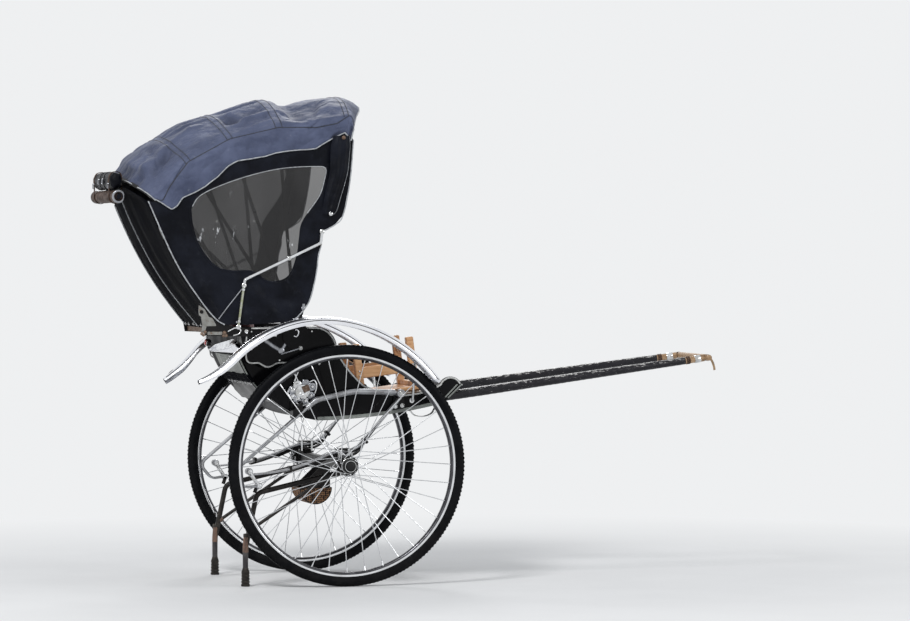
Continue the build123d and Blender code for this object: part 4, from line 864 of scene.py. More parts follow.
for side_name, side in SIDES:
    stand_leg(side_name, side)
    rubber_foot(side_name, side)

# tub: the panels keep their CAD shape, with pale piping, a lower trim band and an iron under the toe
BOW_NAMES = [f"hood_bow_{name}" for name in ("rear", "rear_middle", "middle", "front_middle", "front")]
dress("lacquer", *pair("side_panel"), *pair("wing"), *pair("hood_pivot"))
dress("tub_back", "tub_skin")
dress("floor", "floor_board", "seat_box")
dress("steel", "axle", *pair("spring_hanger"))
dress("bow", *BOW_NAMES)
BELLY = [((150, -334), (432, -288))]
UPPER_EDGE = [((525, -154), (468, -188)), ((270, -232), (110, -188)), ((40, -115), (-30, -5)),
    ((-62, 50), (-120, 80))]
WING_FRONT = [((-80, -48), (-34, 0)), ((-62, 52), (-120, 80))]
WING_REAR = [(-452, 40), (-455, -41), (-449, -72), (-430, -82), (-398, -82), (-378, -92), (-361, -100),
    (-338, -97), (-308, -83), (-260, -82), (-200, -82)]
LOBE = [(-430, -86), (-398, -87), (-380, -97), (-361, -105), (-338, -102), (-308, -88), (-280, -86)]
IRON = [(330, -309), (352, -330), (392, -336), (432, -322), (452, -288)]
PANEL_Y, WING_Y, PIPING_IN = 346.2, 414.2, 5.5


def set_in(line, inset):
    """The inner points of a line of pairs, moved sideways by an inset."""
    result = []
    for (x0, z0), (x, z), (x1, z1) in zip(line, line[1:], line[2:]):
        length = hypot(x1 - x0, z1 - z0)
        result.append((x - (z1 - z0) / length * inset, z + (x1 - x0) / length * inset))
    return result


def tub_piping(edge, side):
    upper_edge = arc_points((572, -192), UPPER_EDGE, 16)[:49]
    edge.tube(in_plane(body, side * PANEL_Y, set_in(upper_edge, PIPING_IN)), 0.004, 10)
    front = [(x - 5.5, z - 4.5) for x, z in arc_points((-112, -88), WING_FRONT, 14)]
    edge.tube(in_plane(body, side * WING_Y, front + [(-200, 75), (-340, 75), (-430, 75)]), 0.0036, 10)
    edge.tube(smooth_line(in_plane(body, side * WING_Y, WING_REAR), 6), 0.0034, 8)


def tub_bands(edge, side):
    """The wing's lower lobe, the bands along the belly and the toe, and the iron."""
    lobe = smooth_line(in_plane(body, side * 411.5, LOBE), 5)
    for a, b in zip(lobe, lobe[1:]):
        edge.block((a + b) / 2 + Vector((0, 0, 0.008)), ((b - a).length + 0.001, 0.0036, 0.02), bevel=0.0005,
            mark=3)
    belly = [(x, z + 9) for x, z in arc_points((-108, -349), BELLY, 24)]
    edge.strip(in_plane(body, side * PANEL_Y, belly), 0.0028, 0.016, 1, 0.1)
    for shift in (0, 13):
        toe = [(507 - shift, -252 + shift * 0.3), (570 - shift * 1.4, -191 + shift * 0.1)]
        edge.strip(in_plane(body, side * PANEL_Y, toe), 0.0026, 0.006, 1, 0.1)
    edge.strip(smooth_line(in_plane(body, side * 330, IRON), 8), 0.022, 0.0045, 2, 0.3)


for side_name, side in SIDES:
    edge = Shape("piping", "trim", "bright", "lacquer")
    tub_piping(edge, side)
    tub_bands(edge, side)
    for x, z in ((-430, -20), (-300, -70), (-160, -70), (-430, 60), (-150, 60)):
        edge.bolt(body(x, side * 413.4, z), (0, side, 0), 0.0042, 2, washer=False)
    edge.make(f"tub_trim_{side_name}")
toe = Shape("piping")
toe.tube([body(573, y, -191) for y in (-344, 0, 344)], 0.0036, 10)
toe.make("toe_trim")

# shafts: their line also gives the slope of the floor
LEAN = radians(7.3)
BEND_X, WRAP_END, BAR_X = 640, 1685, 1797


def shaft_height(x):
    return -227.5 + (x - BEND_X) * tan(LEAN)


def shaft_place(x, side=-1):
    """The middle of a shaft and its radius; the shafts draw together in front of the bend."""
    share = max(0.0, (x - BEND_X) / (BAR_X - BEND_X))
    return body(x, side * (306 - 91 * share), shaft_height(x)), (22.5 - 5.5 * share) / 1000


boards = Shape("floor")
for y in spread(5, -264, 264):
    plank = [body(x, y, shaft_height(x) + 22.8 / cos(LEAN) + 14.3) for x in (102, 520)]
    boards.strip(plank, 0.128, 0.0016, 0, 0.3)
boards.make("floor_planks")

# mudguards: rolled lips and a groove along the crown; the groove, the edge lines and the far tail's slots are
# painted dark as shade
GUARD_TOP = (-110.7, 128)
GUARD_LIP = WHEEL_Y - 45
GUARD_PROFILE = [(-46, -31), (-45.6, -33.6), (-43.6, -34), (-42.8, -32), (-44, -29), (-42.2, -16),
    (-36, -7.5), (-26, -3.4), (-12, -1.2), (-4.4, -0.5), (-3.6, -1.6), (3.6, -1.6), (4.4, -0.5), (12, -1.2),
    (26, -3.4), (36, -7.5), (42.2, -16), (44, -29), (42.8, -32), (43.6, -34), (45.6, -33.6), (46, -31)]
GUARD_INSIDE = [(42.4, -16), (35, -9.6), (25, -5.6), (0, -3.8), (-25, -5.6), (-35, -9.6), (-42.4, -16)]
GROOVE = [(-3.5, -1.5), (3.5, -1.5), (3.5, -0.9), (-3.5, -0.9)]


def arc_step(start, heading, radius, turn, count):
    side = 1 if turn > 0 else -1
    result = []
    for i in range(count + 1):
        end = heading + radians(turn) * i / count
        result.append((start[0] + side * radius * (sin(end) - sin(heading)),
                       start[1] + side * radius * (cos(heading) - cos(end))))
    return result


def guard_crown():
    """The crown's line from the tail to the nose: four arcs."""
    middle = arc_step(GUARD_TOP, 0, WHEEL_R + 56, -12, 8)
    rear = [(2 * GUARD_TOP[0] - x, z) for x, z in arc_step(GUARD_TOP, 0, WHEEL_R + 56, -44, 26)][::-1]
    shift = arc_step((0, 0), radians(14), 374, 30, 14)
    tail = [(x - shift[-1][0] + rear[0][0], z - shift[-1][1] + rear[0][1]) for x, z in shift]
    ahead = arc_step(middle[-1], radians(-12), WHEEL_R + 146, -43, 32)
    return tail[:-1] + rear[:-1] + middle[:-1] + ahead


def dropped(line, turn, length):
    """The tail's last stretch turns down about where it starts."""
    away = [0.0]
    for a, b in zip(line, line[1:]):
        away.append(away[-1] + (b - a).length)
    result = list(line)
    for i in range(len(line) - 1, -1, -1):
        if away[i] < length:
            heading = radians(turn) * (1 - away[i] / length)
            result[i] = result[i + 1] + Matrix.Rotation(-heading, 3, "Y") @ (line[i] - line[i + 1])
    return result


def guard_rings(line, tail_twist):
    """The rings of the sheet, of the groove and of both edge lines, narrower toward the ends."""
    rings, grooves, edges = [], [], ([], [])
    for i, place in enumerate(line):
        tangent = (line[min(i + 1, len(line) - 1)] - line[max(i - 1, 0)]).normalized()
        from_tail, from_nose = (place - line[0]).length, (place - line[-1]).length
        twist = Matrix.Rotation(-radians(tail_twist) * max(0, 1 - from_tail / 0.3), 3, tangent)
        wide, up = twist @ Vector(ACROSS), twist @ Vector((-tangent.z, 0, tangent.x))
        nose = min(1, from_nose / 0.03)
        narrow = min(1, 0.62 + 0.38 * sin(min(1, from_tail / 0.16) * pi / 2),
            0.42 + 0.58 * sin(nose * pi / 2))
        deep = min(1, 0.62 + 0.38 * min(1, from_tail / 0.1), 0.55 + 0.45 * nose)
        wide, up = wide * (narrow / 1000), up / 1000
        rings.append([place + wide * a + up * (b * deep) for a, b in GUARD_PROFILE + GUARD_INSIDE])
        grooves.append([place + wide * a + up * b for a, b in GROOVE])
        for edge, lane in zip(edges, (-42.3, 42.3)):
            edge.append(place + wide * lane + up * (-15.5 * deep))
    return rings, grooves, edges


def guard_mounts(guard, side, crown):
    """Two tabs to the wing and a round stay to the side panel in front."""
    out = (0, side, 0)
    for x in (-420, -330):
        height = read_off(x, crown) - 34
        guard.block(body(x, side * 421.8, height - 4), (0.03, 0.016, 0.022), bevel=0.001, mark=2)
        guard.bolt(body(x, side * 413.8, height - 9), out, 0.0045, 2)
    foot = body(335, side * 351.3, -262)
    head = body(330, side * GUARD_LIP, read_off(335, crown) - 26)
    stay = rounded([foot, foot + Vector((0, side * 0.012, 0.004)), head.lerp(foot, 0.06), head], 0.01, 4)
    guard.tube(stay, 0.0058, 12, 2)
    guard.turned([(0, 0), (0, 0.0118), (0.004, 0.0118), (0.0052, 0.0105), (0.0052, 0)],
        body(335, side * 345.4, -262), out, 24, 2)


def mudguard(side_name, side, crown, drop, twist):
    guard = Shape("guard", "guard_shade_line", "bright")
    rings, grooves, edges = guard_rings(dropped(in_plane(body, side * WHEEL_Y, crown), drop, 0.26), twist)
    guard.loft(rings)
    guard.loft(grooves[1:-1], 1)
    for edge in edges:
        guard.tube(edge[1:-1], 0.0019, 6, 1)
    if side > 0:
        # two slots in the far guard's tail, painted dark as shade
        for first, last, lane in ((2, 6, 6), (11, 15, 3)):
            slot = [(ring[lane] + ring[9]) / 2 for ring in rings[first:last]]
            guard.tube(slot, [0.0008] + [0.0042] * (len(slot) - 2) + [0.0008], 8, 1)
    guard_mounts(guard, side, crown)
    guard.make(f"mudguard_rolled_{side_name}", [f"mudguard_{side_name}"])


crown = guard_crown()
for (side_name, side), drop, twist in zip(SIDES, (9, 24), (9, 26)):
    mudguard(side_name, side, crown, drop, twist)


def wrapped_shaft(side_name, side):
    """A shaft wound with tape: the edge of each turn stands up a little."""
    shaft = Shape("shaft")
    path, radii = [], []
    for x in np.linspace(20, WRAP_END, 240):
        place, radius = shaft_place(x, side)
        swell = 1 + 0.022 * noise.noise(Vector((x / 60, side * 3, 0))) + (0.012 if int(x / 17) % 2
            else -0.012)
        path.append(place)
        radii.append((radius - 0.0006) * swell)
    shaft.tube(path, radii, 20)
    shaft.make(f"shaft_wrapped_{side_name}", [f"shaft_{side_name}"])


def shaft_end(side_name, side):
    """The bare wooden tip with a metal sleeve and a cord at the wrapping's end."""
    tip = Shape("tan", "bright", "strap")
    path, radii = [], []
    for x in np.linspace(WRAP_END + 0.3, BAR_X - 15.3, 24):
        place, radius = shaft_place(x, side)
        path.append(place)
        radii.append((radius - 0.0015) * (1 + 0.02 * noise.noise(Vector((x / 40, side, 5)))))
    tip.tube(path, radii, 20)
    sleeve, r = shaft_place(1733, side)
    run = shaft_place(1763, side)[0] - sleeve
    tip.lathe([(0, r - 0.002), (0.0, r - 0.0004), (0.002, r + 0.0006), (run.length - 0.002, r + 0.0004),
               (run.length, r - 0.0008), (run.length, r - 0.002)], sleeve, run, 32, 1)
    tie, r = shaft_place(WRAP_END + 5, side)
    for i in range(4):
        tip.lathe([(0, r - 0.002), (0.001, r + 0.0006), (0.0035, r + 0.0006), (0.0045, r - 0.002)],
                  tie + run.normalized() * 0.0052 * i, run, 28, 2)
    tip.make(f"shaft_end_{side_name}", [f"shaft_tip_{side_name}"])


def crossbar():
    bar = Shape("tan", "strap")
    half = [(0.255, 0), (0.255, 0.0115), (0.253, 0.0134), (0.237, 0.0134), (0.2368, 0.0148)]
    bar.turned([(-a, r) for a, r in half] + half[::-1], body(BAR_X, 0, shaft_height(BAR_X)), ACROSS, 32)
    for side in (-1, 1):
        for i in range(5):
            bar.lathe([(-0.002, 0.013), (-0.0012, 0.0152), (0.0012, 0.0152), (0.002, 0.013)],
                      body(BAR_X, side * (226 - i * 4.6), shaft_height(BAR_X)), ACROSS, 28, 1)
    bar.make("crossbar_turned", ["crossbar"])


for side_name, side in SIDES:
    wrapped_shaft(side_name, side)
    shaft_end(side_name, side)
crossbar()

# hood: bows fan out from the pivots; each row is an angle, a reach to the shoulder and crown, and the flap
PIVOT = (-224, 40)
BOWS = [(136.6, 923, 1050, 30), (122.4, 938, 1060, 110), (108.9, 939, 1056, 115), (95.0, 946, 1078, 95),
        (76.2, 1019, 1122, 55), (71.4, 1050, 1124, 62)]
BOW_HALF = 417.8
COVER_HALF, COVER_LIFT = BOW_HALF + 8.6, 5.4
CORNER = 55
# points down a leg, around a corner and over the arch of a cross-section; rows of the grid between two bows
LEG, BEND, ARCH, STEPS = 13, 17, 93, 32
V_SCALE = 0.115


def hoop(shoulder, crown, flap):
    """Across and along a bow: up one leg, over the arch and down the other."""
    rise = crown - shoulder
    radius = (BOW_HALF**2 + rise**2) / (2 * rise) + COVER_LIFT
    crown += COVER_LIFT
    flat = COVER_HALF - CORNER
    top = crown - radius + sqrt((radius - CORNER)**2 - flat**2)
    turn = atan2(top - (crown - radius), flat)
    result = [(COVER_HALF, h) for h in spread(LEG, shoulder - flap, top)[:-1]]
    result += [(flat + CORNER * cos(a), top + CORNER * sin(a)) for a in spread(BEND, 0, turn)[:-1]]
    result += [(radius * cos(a), crown - radius + radius * sin(a))
        for a in spread(ARCH // 2 + 1, turn, pi / 2)]
    return [(-a, b) for a, b in result] + result[-2::-1]


def bow_place(angle, across, reach):
    return body(PIVOT[0] + reach * cos(radians(angle)), across, PIVOT[1] + reach * sin(radians(angle)))


# rise or fall of the roof along the bows, and the folds: from, to, height and width; a place is across
# (0 to 1) and along (0 to 5)
ROOF_LINE = [(0, 0), (0.3, 20), (0.55, 27), (0.8, 12), (1, 0), (1.3, 12), (1.5, 17), (1.8, 8), (2, 2),
    (2.2, -6), (2.5, -3), (2.8, 2), (3, 2), (3.12, -9), (3.26, -34), (3.36, -38), (3.5, -22), (3.66, -9),
    (3.85, -3), (4, 0), (5, 0)]
FOLDS = [((0.2, 0.42), (0.27, 0.62), -17, 0.032), ((0.27, 0.62), (0.36, 0.7), -12, 0.03),
    ((0.22, 0.3), (0.4, 0.52), 9, 0.04), ((0.16, 0.75), (0.22, 0.95), 7, 0.025),
    ((0.3, 0.86), (0.4, 0.8), 7, 0.03), ((0.12, 0.3), (0.16, 0.7), 6, 0.03),
    ((0.28, 1.25), (0.37, 1.62), 8, 0.03), ((0.24, 1.38), (0.31, 1.6), -9, 0.026),
    ((0.19, 1.15), (0.23, 1.5), 6, 0.024), ((0.33, 2.12), (0.29, 2.48), -16, 0.03),
    ((0.29, 2.48), (0.36, 2.86), -13, 0.03), ((0.26, 2.36), (0.22, 2.62), 7, 0.03),
    ((0.36, 2.3), (0.4, 2.7), 8, 0.035), ((0.17, 2.4), (0.2, 2.8), -6, 0.022),
    ((0.4, 3.1), (0.3, 3.3), -20, 0.034), ((0.3, 3.3), (0.22, 3.52), -22, 0.034),
    ((0.22, 3.52), (0.36, 3.66), -15, 0.028), ((0.34, 3.44), (0.26, 3.5), 14, 0.022),
    ((0.2, 3.12), (0.16, 3.52), 8, 0.026), ((0.24, 3.72), (0.34, 3.84), 9, 0.026),
    ((0.16, 3.62), (0.2, 3.9), -7, 0.022), ((0.3, 4.2), (0.24, 4.7), 5, 0.02),
    ((0.18, 4.1), (0.2, 4.8), -5, 0.018), ((0.36, 4.15), (0.34, 4.8), -5, 0.018)]
FOLDS += [((1 - a[0], a[1] + 0.05), (1 - b[0], b[1] - 0.04), h * 0.85, w * 1.1) for a, b, h, w in FOLDS]
CREASES = [((0.4, 0.24), (0.272, 0.27), 13, 0.03), ((0.272, 0.27), (0.24, 0.42), 17, 0.03),
    ((0.24, 0.42), (0.258, 0.62), 17, 0.03), ((0.258, 0.62), (0.29, 0.82), 12, 0.028),
    ((0.44, 0.62), (0.31, 0.5), 8, 0.026), ((0.385, 0.74), (0.3, 0.68), 7, 0.024),
    ((0.4, 1.3), (0.392, 1.8), 7, 0.022), ((0.318, 1.15), (0.33, 1.6), 6, 0.022),
    ((0.352, 2.28), (0.262, 2.46), 17, 0.03), ((0.262, 2.46), (0.276, 2.92), 16, 0.03),
    ((0.212, 2.35), (0.23, 2.85), -6, 0.026), ((0.43, 3.25), (0.3, 3.3), -15, 0.03),
    ((0.3, 3.3), (0.15, 3.4), -17, 0.028), ((0.15, 3.4), (0.28, 3.58), -17, 0.028),
    ((0.28, 3.58), (0.385, 3.7), -14, 0.028), ((0.11, 3.46), (0.19, 3.66), 8, 0.022),
    ((0.36, 3.8), (0.15, 3.74), 6, 0.02), ((0.44, 1.2), (0.47, 1.7), 6, 0.026),
    ((0.1, 0.55), (0.15, 0.95), 4, 0.02), ((0.46, 2.3), (0.45, 2.8), 8, 0.028),
    ((0.34, 4.2), (0.3, 4.8), 4, 0.018)]
CREASES += [((1 - a[0] - 0.01, a[1] + 0.06), (1 - b[0] + 0.01, b[1] - 0.02), -h * 0.9, w) for a, b, h,
    w in CREASES]
# the flap's lower edge: angle about the pivots and reach; then the front edge: across, x and height
FLAP_EDGE = [(70, 930), (74.0, 923), (75.9, 954), (84.0, 854), (86.8, 846), (96.8, 834), (100, 826),
    (104.7, 829), (109, 838), (112.4, 831), (117, 806), (122, 797), (126, 802), (130, 816), (133, 806),
    (135.2, 812), (136.0, 880), (137, 914)]
FRONT_EDGE = [(0, 169, 1092), (100, 146, 1070), (200, 108, 1040), (300, 80, 1020), (395, 53, 1000),
    (412, 46, 988), (430, 42, 978)]
# the long seams: across and along
LONG_SEAM = [(0.05, 0), (0.128, 1), (0.15, 2), (0.145, 3), (0.095, 3.55), (0.105, 3.85), (0.16, 4),
    (0.175, 5)]
LAST_BOW = len(BOWS) - 2
sections = [hoop(shoulder, crown, flap) for _, shoulder, crown, flap in BOWS]
POINTS = len(sections[0])


def ridge(u, v):
    """Height of all folds at a place."""
    total = 0
    for a, b, height, width in FOLDS:
        share, away = nearest(u, v * V_SCALE, (a[0], a[1] * V_SCALE), (b[0], b[1] * V_SCALE))
        strength = 0.55 + 0.45 * sin(pi * min(1, share * 0.9 + 0.08))
        total += height * strength * np.exp(-(away / width / 0.72)**1.25)
    return total


def crease(u, v):
    """Steps in the cloth: the drop lies toward the near edge for a line that runs forward."""
    total = 0
    for a, b, height, width in CREASES:
        start, end = (a[0], a[1] * V_SCALE), (b[0], b[1] * V_SCALE)
        away = nearest(u, v * V_SCALE, start, end)[1]
        if away <= 3 * width:
            dx, dy, x, y = end[0] - start[0], end[1] - start[1], u - start[0], v * V_SCALE - start[1]
            drop = -(x * dy - y * dx) / hypot(dx, dy) / (0.22 * width)
            profile = 0.55 - 1.1 / (1 + np.exp(max(-30, min(30, -2.2 * drop + 1.0))))
            total += 1.45 * height * profile * np.exp(-(away / width)**2)
    return total


def plain_row(k, t):
    """One cross-section of the cover between bow k and the next, before its folds."""
    line = [bow_place(BOWS[k][0], *a).lerp(bow_place(BOWS[k + 1][0], *b), t)
            for a, b in zip(sections[k], sections[k + 1])]
    visor = k == LAST_BOW and t > 0
    if visor:
        forward = t * t * (3 - 2 * t) * 0.35 + t * 0.65
        for j, (across, reach) in enumerate(sections[k]):
            front = body(read_off(abs(across), FRONT_EDGE), across,
                read_off(abs(across), FRONT_EDGE, value=2))
            line[j] = bow_place(BOWS[k][0], across, reach).lerp(front, forward)
            line[j] += Vector((0.3, 0, 1)) * (0.014 * sin(pi * t))
    angle = BOWS[k][0] + (BOWS[k + 1][0] - BOWS[k][0]) * t
    for ends in (range(LEG), range(POINTS - 1, POINTS - LEG - 1, -1)):
        across = sections[k][ends[0]][0]
        low = bow_place(angle, across, read_off(angle, FLAP_EDGE))
        if visor:
            low = bow_place(BOWS[k][0], across, read_off(BOWS[k][0], FLAP_EDGE)).lerp(body(30, across, 927),
                t)
        joint = line[ends[-1]]
        for i, j in enumerate(ends[:-1]):
            line[j] = low.lerp(joint, i / (LEG - 1))
    return line, radians(angle)


def eased(x):
    x = min(1, max(0, x))
    return x * x * (3 - 2 * x)


def lift(u, v, roof):
    """How far the cloth stands off, in millimetres; roof is one on top and nought at the sides."""
    from_bow = abs(v - round(v))
    inner = 0.5 < v < LAST_BOW + 0.5
    held = 1 - 0.75 * np.exp(-(from_bow / 0.05)**2) if inner else 1
    rise = read_off(v, ROOF_LINE) * roof * (0.75 + 0.25 * noise.noise(Vector((u * 5, v, 1))))
    small = noise.fractal(Vector((u * 17, v * 2.3, 3)), 0.9, 2.1, 4) * 3.4
    fold = max(-27.0, 1.1 * float(ridge(u, v)) + float(crease(u, v))) * held
    wave = 0
    if roof < 1:
        wave = (1 - roof) * (3.2 + 3.2 * sin(v * 9.0 + 2.2 * noise.noise(Vector((v, u * 3, 8)))))
        fold = abs(fold) * (1 - roof) + fold * roof
        small = abs(small) * (1 - roof) + small * roof
    total = rise + fold + small * held + wave
    if inner and from_bow < 0.2:
        total = max(total, 1.0 - max(0.0, from_bow - 0.085) * 300)
    return total


def cover_grid():
    grid = []
    for row in range((LAST_BOW + 1) * STEPS + 1):
        v = row / STEPS
        k = min(LAST_BOW, int(v))
        line, angle = plain_row(k, v - k)
        out = Vector((cos(angle) * 0.75, 0, sin(angle))).normalized()
        for j in range(POINTS):
            u = j / (POINTS - 1)
            roof = eased((min(u, 1 - u) - 0.12) / 0.16)
            sideways = Vector((0, -1 if u < 0.5 else 1, 0))
            normal = (out * roof + sideways * (1 - roof)).normalized()
            line[j] = line[j] + normal * (lift(u, v, roof) / 1000)
        grid.append(line)
    return grid


def sheet_from_grid(grid, thickness, first, second, name, stands_for=()):
    """A cloth with two faces that are a thickness apart and a closed rim."""
    rows, count = len(grid), len(grid[0])
    middle = sum((p for line in grid for p in line), Vector()) / (rows * count)
    outward = sum((grid[i + 1][j] - grid[i][j]).cross(grid[i][j + 1] - grid[i][j]).dot(grid[i][j] - middle)
                  for i in range(0, rows - 1, 3) for j in range(0, count - 1, 3))
    depth = thickness if outward < 0 else -thickness
    points = [p for line in grid for p in line]
    for i in range(rows):
        for j in range(count):
            a = grid[min(i + 1, rows - 1)][j] - grid[max(i - 1, 0)][j]
            b = grid[i][min(j + 1, count - 1)] - grid[i][max(j - 1, 0)]
            points.append(grid[i][j] + a.cross(b).normalized() * depth)
    total = rows * count
    outer = [(i * count + j, i * count + j + 1, (i + 1) * count + j + 1, (i + 1) * count + j)
             for i in range(rows - 1) for j in range(count - 1)]
    inner = [tuple(total + k for k in reversed(quad)) for quad in outer]
    border = ([(0, j) for j in range(count)] + [(i, count - 1) for i in range(1, rows)]
              + [(rows - 1, j) for j in range(count - 2, -1, -1)] + [(i, 0) for i in range(rows - 2, 0, -1)])
    ids = [i * count + j for i, j in border]
    rim = [(a, b, total + b, total + a) for a, b in zip(ids, ids[1:] + ids[:1])]
    shape = Shape(first, second).add(points, outer + inner + rim)
    shape.marks = [0] * len(outer) + [1] * len(inner) + [0] * len(rim)
    return shape.make(name, stands_for, smooth=60)


def grid_place(grid, u, v):
    x, y = u * (len(grid[0]) - 1), v * STEPS
    i, j = min(int(y), len(grid) - 2), min(int(x), len(grid[0]) - 2)
    return grid[i][j].lerp(grid[i][j + 1], x - j).lerp(grid[i + 1][j].lerp(grid[i + 1][j + 1], x - j), y - i)


def hood_seams(grid):
    """The bound edges, two long seams and two stitched lines beside each bow."""
    seams = Shape("seam", "seam_dark")
    last = LAST_BOW + 1
    for edge in (0, 1):
        seams.tube([grid_place(grid, edge, v) for v in spread(200, 0, last)], 0.0027, 8)
    for edge, size in ((0, 0.0028), (last, 0.003)):
        seams.tube([grid_place(grid, u, edge) for u in spread(90, 0, 1)], size, 8)
    for flip in (False, True):
        path = []
        for v in spread(200, 0, last):
            u = read_off(v, LONG_SEAM, 1, 0)
            path.append(grid_place(grid, 1 - u if flip else u, v))
        seams.tube(path, 0.0019, 6, 1)
    for k in range(1, last):
        start = read_off(k, LONG_SEAM, 1, 0)
        for offset in (-0.055, 0.055):
            seams.tube([grid_place(grid, u, k + offset) for u in spread(120, start, 1 - start)], 0.0016, 6, 1)
    seams.make("hood_seams")


grid = cover_grid()
cover = sheet_from_grid(grid, 0.0022, "canvas", "canvas_inside", "hood_canvas", ["hood_cover"])
hood_seams(grid)

# hood sides: cloth in rings between the outline and the window, so that seams follow both
SIDE_OUTLINE = [(43, 930), (27, 748), (-6, 588), (-46, 543), (-108, 505), (-108, 455), (-122, 400),
    (-130, 330), (-160, 205), (-205, 140), (-246, 104), (-440, 92), (-556, 92), (-598, 120), (-668, 205),
    (-780, 376), (-905, 650)]
SIDE_TOP = [(136.6, 880), (122.4, 901), (108.9, 900), (95.0, 905), (76.2, 968)]
WINDOW = [(-706, 590), (-700, 632), (-650, 686), (-485, 752), (-300, 797), (-120, 808), (-86, 796),
    (-92, 750), (-118, 672), (-196, 560), (-212, 480), (-222, 410), (-250, 330), (-290, 296), (-352, 290),
    (-396, 318), (-440, 338), (-520, 338), (-590, 356), (-650, 420), (-690, 500)]
CENTRE = (-420, 560)
# soft folds of the side canvas: from, to, height and width
DRAPES = [((-260, 90), (-560, 330), 7, 34),
    ((-250, 110), (-420, 310), -5, 26), ((-250, 120), (-300, 300), 6, 24),
    ((-240, 130), (-190, 420), -5, 22), ((-300, 110), (-640, 350), -6, 26),
    ((-560, 100), (-780, 460), 6, 26), ((-540, 110), (-700, 360), -5, 22), ((-130, 330), (-240, 260), 7, 24),
    ((-150, 250), (-300, 190), -6, 22), ((-60, 560), (-130, 700), 5, 22), ((-110, 640), (-180, 470), -6, 22),
    ((-820, 600), (-720, 480), 5, 24), ((-30, 640), (-60, 860), -5, 20), ((-440, 330), (-330, 260), -7, 30),
    ((-200, 180), (-420, 130), 6, 20)]
FLAP_LINE = [(-16, 948), (-24, 880), (-31, 792), (-46, 722), (-57, 675), (-70, 618), (-77, 592)]
SIDE_Y = 423.1


def from_centre(point, share):
    """A point on the line from the window's centre."""
    return CENTRE[0] + (point[0] - CENTRE[0]) * share, CENTRE[1] + (point[1] - CENTRE[1]) * share


def loop_at(points, angle):
    """Where a ray from the centre crosses a closed outline."""
    dx, dz = cos(angle), sin(angle)
    best = 0
    for (ax, az), (bx, bz) in zip(points, points[1:] + points[:1]):
        ex, ez = bx - ax, bz - az
        det = dx * -ez + dz * ex
        if abs(det) < 1e-9:
            continue
        px, pz = ax - CENTRE[0], az - CENTRE[1]
        t = (px * -ez + pz * ex) / det
        s = (dx * pz - dz * px) / det
        if t > 0 and -1e-6 <= s <= 1 + 1e-6:
            best = max(best, t)
    return (CENTRE[0] + dx * best, CENTRE[1] + dz * best)


def soften(points, steps):
    """A closed outline with round corners."""
    closed = points[-2:] + points + points[:3]
    line = smooth_line([(x, z, 0) for x, z in closed], steps)
    return [(p.x, p.y) for p in line[2 * steps:-2 * steps - 1]]


def drape(x, z, seed):
    """How far the side canvas stands off, in millimetres."""
    total = 2.2 + 1.8 * noise.noise(Vector((x / 170, z / 170, seed)))
    total += 1.5 * noise.fractal(Vector((x / 60, z / 60, seed)), 0.8, 2.2, 3)
    for start, end, height, width in DRAPES:
        share, away = nearest(x, z, start, end)
        total += height * sin(pi * (0.1 + 0.8 * share)) * np.exp(-(away / width)**2)
    return float(max(total, -0.6))


def cloth_place(side, x, z, lift=0.0):
    return body(x, side * (SIDE_Y + drape(x, z, 4 if side < 0 else 9) + lift), z)


def ray_angles(outline):
    """Even angles about the centre, and those of the outline's corners."""
    even = [2 * pi * i / 220 - pi for i in range(220)]
    angles = sorted({round(a, 5) for a in even + [atan2(z - CENTRE[1], x - CENTRE[0]) for x, z in outline]})
    return [a for i, a in enumerate(angles) if i == 0 or a - angles[i - 1] > 0.004]


outline = SIDE_OUTLINE + [(PIVOT[0] + r * cos(radians(a)), PIVOT[1] + r * sin(radians(a))) for a,
    r in SIDE_TOP]
angles = ray_angles(outline)
outer_loop = [loop_at(outline, a) for a in angles]
window = soften(WINDOW, 6)
window_loop = [loop_at(window, a) for a in angles]


def two_faced(shape, rings, side, thickness):
    """Rings of cloth with a second face a thickness further in."""
    back = [[p - Vector((0, side * thickness, 0)) for p in ring] for ring in reversed(rings)]
    return shape.loft(rings + back, joined=True)


def side_canvas(side_name, side):
    rings = [[cloth_place(side, o[0] + (w[0] - o[0]) * t, o[1] + (w[1] - o[1]) * t)
              for o, w in zip(outer_loop, window_loop)] for t in spread(15, 0, 1)]
    panel = two_faced(Shape("side"), rings, side, 0.0018)
    panel = panel.make(f"side_canvas_{side_name}", [f"hood_side_{side_name}"], smooth=60)


def window_vinyl(side_name, side):
    rings = []
    for t in spread(13, 1.012, 0.02):
        ring = []
        for x, z in (from_centre(point, t) for point in window_loop):
            place = Vector((x / 90, z / 90, 4 if side < 0 else 9))
            bulge = 4.5 * (1 - t) * noise.fractal(place, 0.7, 2.0, 3)
            ring.append(cloth_place(side, x, z, -0.9) + Vector((0, side * bulge / 1000, 0)))
        rings.append(ring)
    pane = two_faced(Shape("vinyl"), rings, side, 0.0007)
    pane = pane.make(f"window_vinyl_{side_name}", [f"window_pane_{side_name}"], smooth=60)


